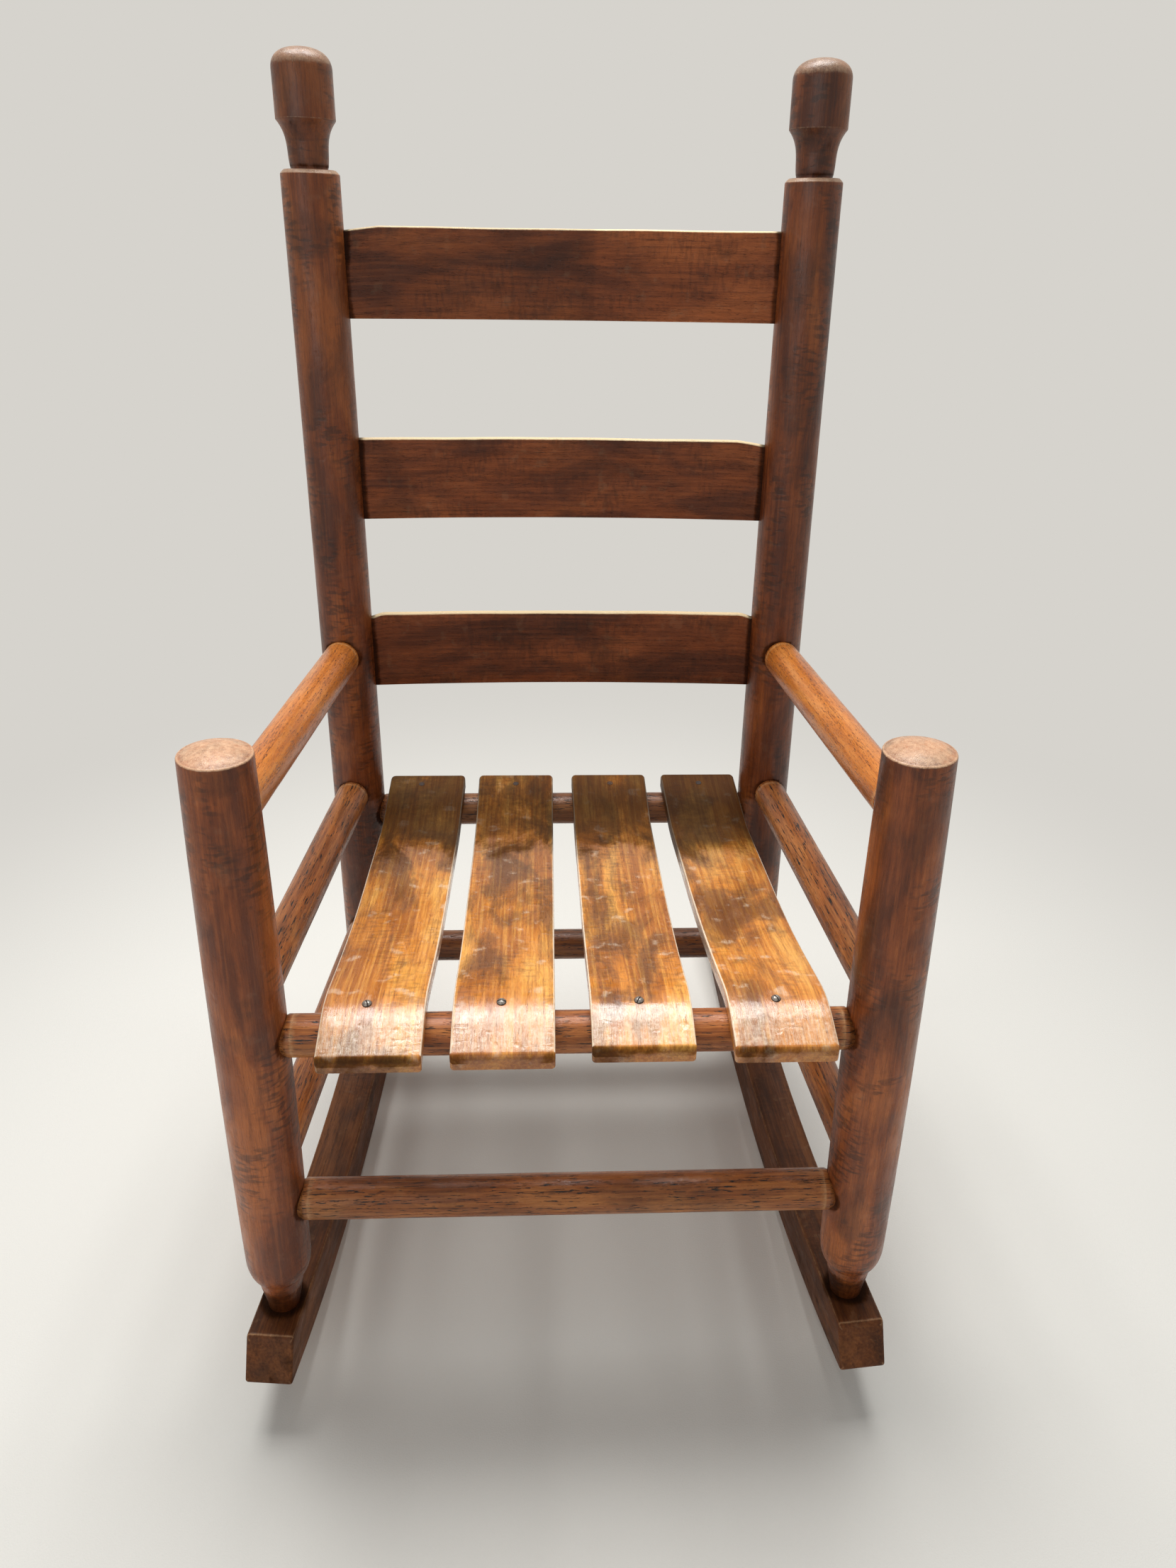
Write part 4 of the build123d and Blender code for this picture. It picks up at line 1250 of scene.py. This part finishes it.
class CHAIR_OT_fasteners(bpy.types.Operator):
    """Drive the screws over the front rung and the nails over the rear rung"""

    bl_idname = "chair.fasteners"
    bl_label = "Screws and Nails"

    def execute(self, context):
        seat = settings("seat")
        steel = rusty_steel()
        screws = [
            screw_surface(*pin_frame(index, 0.0, offset), slot_turn=0.4 + 1.1 * index)
            for index, offset in enumerate(seat.screw_offsets)
        ]
        nails = [
            nail_surface(*pin_frame(index, rear_rung()[0], offset), seed=1.0 + index)
            for index, offset in enumerate(seat.nail_offsets)
        ]
        make_piece("front_slat_screws_steel", "front_slat_screws", steel, screws)
        make_piece("rear_slat_nails_steel", "rear_slat_nails", steel, nails)
        return {"FINISHED"}


class CHAIR_OT_rockers(bpy.types.Operator):
    """Saw the two rockers"""

    bl_idname = "chair.rockers"
    bl_label = "Rockers"

    def execute(self, context):
        for name, side in SIDES:
            make_rocker(name, side, 0.5)
        return {"FINISHED"}


def set_up(thing, place, right, up, back):
    """Stands a lamp or a camera at a place, looking away from its back."""
    columns = [(*axis, 0) for axis in (right, up, back)] + [(*place, 1)]
    thing.matrix_world = Matrix(np.array(columns, float).T.tolist())


def soft_lamp(name, power, size, place, target):
    """A rectangular lamp aimed at its target, which the camera doesn't see."""
    lamp = bpy.data.lights.new(name, "AREA")
    lamp.shape, lamp.size, lamp.size_y, lamp.energy = "RECTANGLE", *size, power
    thing = bpy.data.objects.new(name, lamp)
    thing.visible_camera = False
    bpy.context.scene.collection.objects.link(thing)
    back = unit(np.array(place) - np.array(target))
    right = unit(np.cross((0, 0, 1.0), back))
    set_up(thing, place, right, np.cross(back, right), back)


class CHAIR_OT_stage(bpy.types.Operator):
    """Lay the floor and set the lamps, the world and the camera"""

    bl_idname = "chair.stage"
    bl_label = "Stage"

    def execute(self, context):
        stage = settings("stage")
        self.lay_floor(stage)
        self.light(context.scene, stage)
        self.set_camera(context.scene, stage)
        context.scene.view_settings.view_transform = "Standard"
        return {"FINISHED"}

    def lay_floor(self, stage):
        """A wide flat floor: a grid over x and y at height 0, which fades into the backdrop."""
        reach, lines = 9, 19
        x, y = np.meshgrid(*[np.linspace(-reach, reach, lines)] * 2)
        cells = np.arange((lines - 1) * lines).reshape(lines - 1, lines)[:, :-1].ravel()
        mesh = bpy.data.meshes.new("floor")
        corners = np.stack([cells, cells + 1, cells + lines + 1, cells + lines], axis=-1)
        mesh.from_pydata(points_of(x, y, 0.0).reshape(-1, 3).tolist(), [], corners.tolist())
        floor = Recipe(bpy.data.materials.new("pale_floor"))
        where = floor.node("TexCoord", {})["Object"]
        nap = floor.noise(where, 900.0, 2.0)
        bump = floor.node("Bump", {"Height": nap, "Distance": 0.2 * MM})[0]
        floor.shade({"Base Color": stage.floor, "Roughness": 0.9, "Normal": bump})
        ahead = floor.node("VectorMath", {0: where, 1: (0, 0.3, 0)})[0]
        away = floor.node("VectorMath", {0: ahead}, operation="LENGTH")["Value"]
        fade = floor.times(floor.span(away, 0.42, 1.05), floor.looked_at())
        far = floor.node("Emission", {"Color": stage.backdrop, "Strength": 1.0})[0]
        near_by = floor.tree.nodes["Principled BSDF"].outputs[0]
        blend = floor.node("MixShader", {0: fade, 1: near_by, 2: far})[0]
        floor.feed(floor.tree.nodes["Material Output"].inputs["Surface"], blend)
        mesh.materials.append(floor.owner)
        ground = bpy.data.objects.new("floor", mesh)
        bpy.context.scene.collection.objects.link(ground)

    def light(self, scene, stage):
        """Even daylight for the chair, and a plain backdrop where camera, gloss or glass looks."""
        scene.world = bpy.data.worlds.new("daylight")
        world = Recipe(scene.world)
        world.shade({"Color": (1, 1, 1, 1), "Strength": stage.daylight})
        even = world.tree.nodes["Background"].outputs[0]
        seen = world.node("Background", {"Color": stage.backdrop})[0]
        chosen = world.node("MixShader", {0: world.looked_at(), 1: even, 2: seen})[0]
        world.feed(world.tree.nodes["World Output"].inputs["Surface"], chosen)
        above, ahead = (-0.1, 0.68, 2.0), (-1.3, -2.2, 1.5)
        soft_lamp("key_lamp", stage.key_power, size=(1.4, 0.85), place=above, target=(0, -0.15, 0.3))
        soft_lamp("fill_lamp", stage.fill_power, size=(1.8, 1.8), place=ahead, target=(0, 0, 0.35))

    def set_camera(self, scene, stage):
        """The camera stands a little left of the middle and looks down over the front of the chair."""
        place = stand(CAMERA_PLACE)
        heading, dip, roll = CAMERA_TURN
        level = np.array([math.sin(heading), math.cos(heading), 0])
        ahead = level * math.cos(dip) - np.array([0, 0, math.sin(dip)])
        right = np.array([math.cos(heading), -math.sin(heading), 0])
        up = np.cross(right, ahead)
        cosine, sine = math.cos(roll), math.sin(roll)
        right, up = right * cosine + up * sine, up * cosine - right * sine
        turned_axes = [stand(CAMERA_PLACE + axis) - place for axis in (right, up, -ahead)]
        data = bpy.data.cameras.new("camera")
        data.lens, data.sensor_width, data.sensor_fit = stage.lens, 36, "AUTO"
        data.clip_start, data.clip_end = 0.01, 60
        camera = bpy.data.objects.new("camera", data)
        scene.collection.objects.link(camera)
        set_up(camera, place, *turned_axes)
        scene.camera = camera


class CHAIR_PT_panel(bpy.types.Panel):
    bl_label = "Rocking Chair"
    bl_idname = "CHAIR_PT_panel"
    bl_space_type = "VIEW_3D"
    bl_region_type = "UI"
    bl_category = "Rocking Chair"

    def draw(self, context):
        for operator in OPERATORS:
            self.layout.operator(operator.bl_idname)


SETTINGS = {
    "chair_frame": ChairFrameSizes,
    "chair_finials": FinialSizes,
    "chair_rungs": RungSizes,
    "chair_back_slats": BackSlatSizes,
    "chair_seat": SeatSizes,
    "chair_rockers": RockerSizes,
    "chair_steel": SteelFinish,
    "chair_stage": StageSettings,
    **{f"chair_{slot}": wood_group(slot) for slot in WOODS},
}
OPERATORS = (
    CHAIR_OT_posts,
    CHAIR_OT_rungs,
    CHAIR_OT_back_slats,
    CHAIR_OT_seat_slats,
    CHAIR_OT_fasteners,
    CHAIR_OT_rockers,
    CHAIR_OT_stage,
)


def register():
    for group in SETTINGS.values():
        bpy.utils.register_class(group)
    for operator in (*OPERATORS, CHAIR_PT_panel):
        bpy.utils.register_class(operator)
    for name, group in SETTINGS.items():
        setattr(bpy.types.Scene, name, bpy.props.PointerProperty(type=group))


def unregister():
    for name in SETTINGS:
        delattr(bpy.types.Scene, name)
    for kind in (CHAIR_PT_panel, *reversed(OPERATORS), *reversed(SETTINGS.values())):
        bpy.utils.unregister_class(kind)


def main():
    register()
    bpy.ops.chair.posts()
    bpy.ops.chair.rungs()
    bpy.ops.chair.back_slats()
    bpy.ops.chair.seat_slats()
    bpy.ops.chair.fasteners()
    bpy.ops.chair.rockers()
    bpy.ops.chair.stage()


if __name__ == "__main__":
    main()
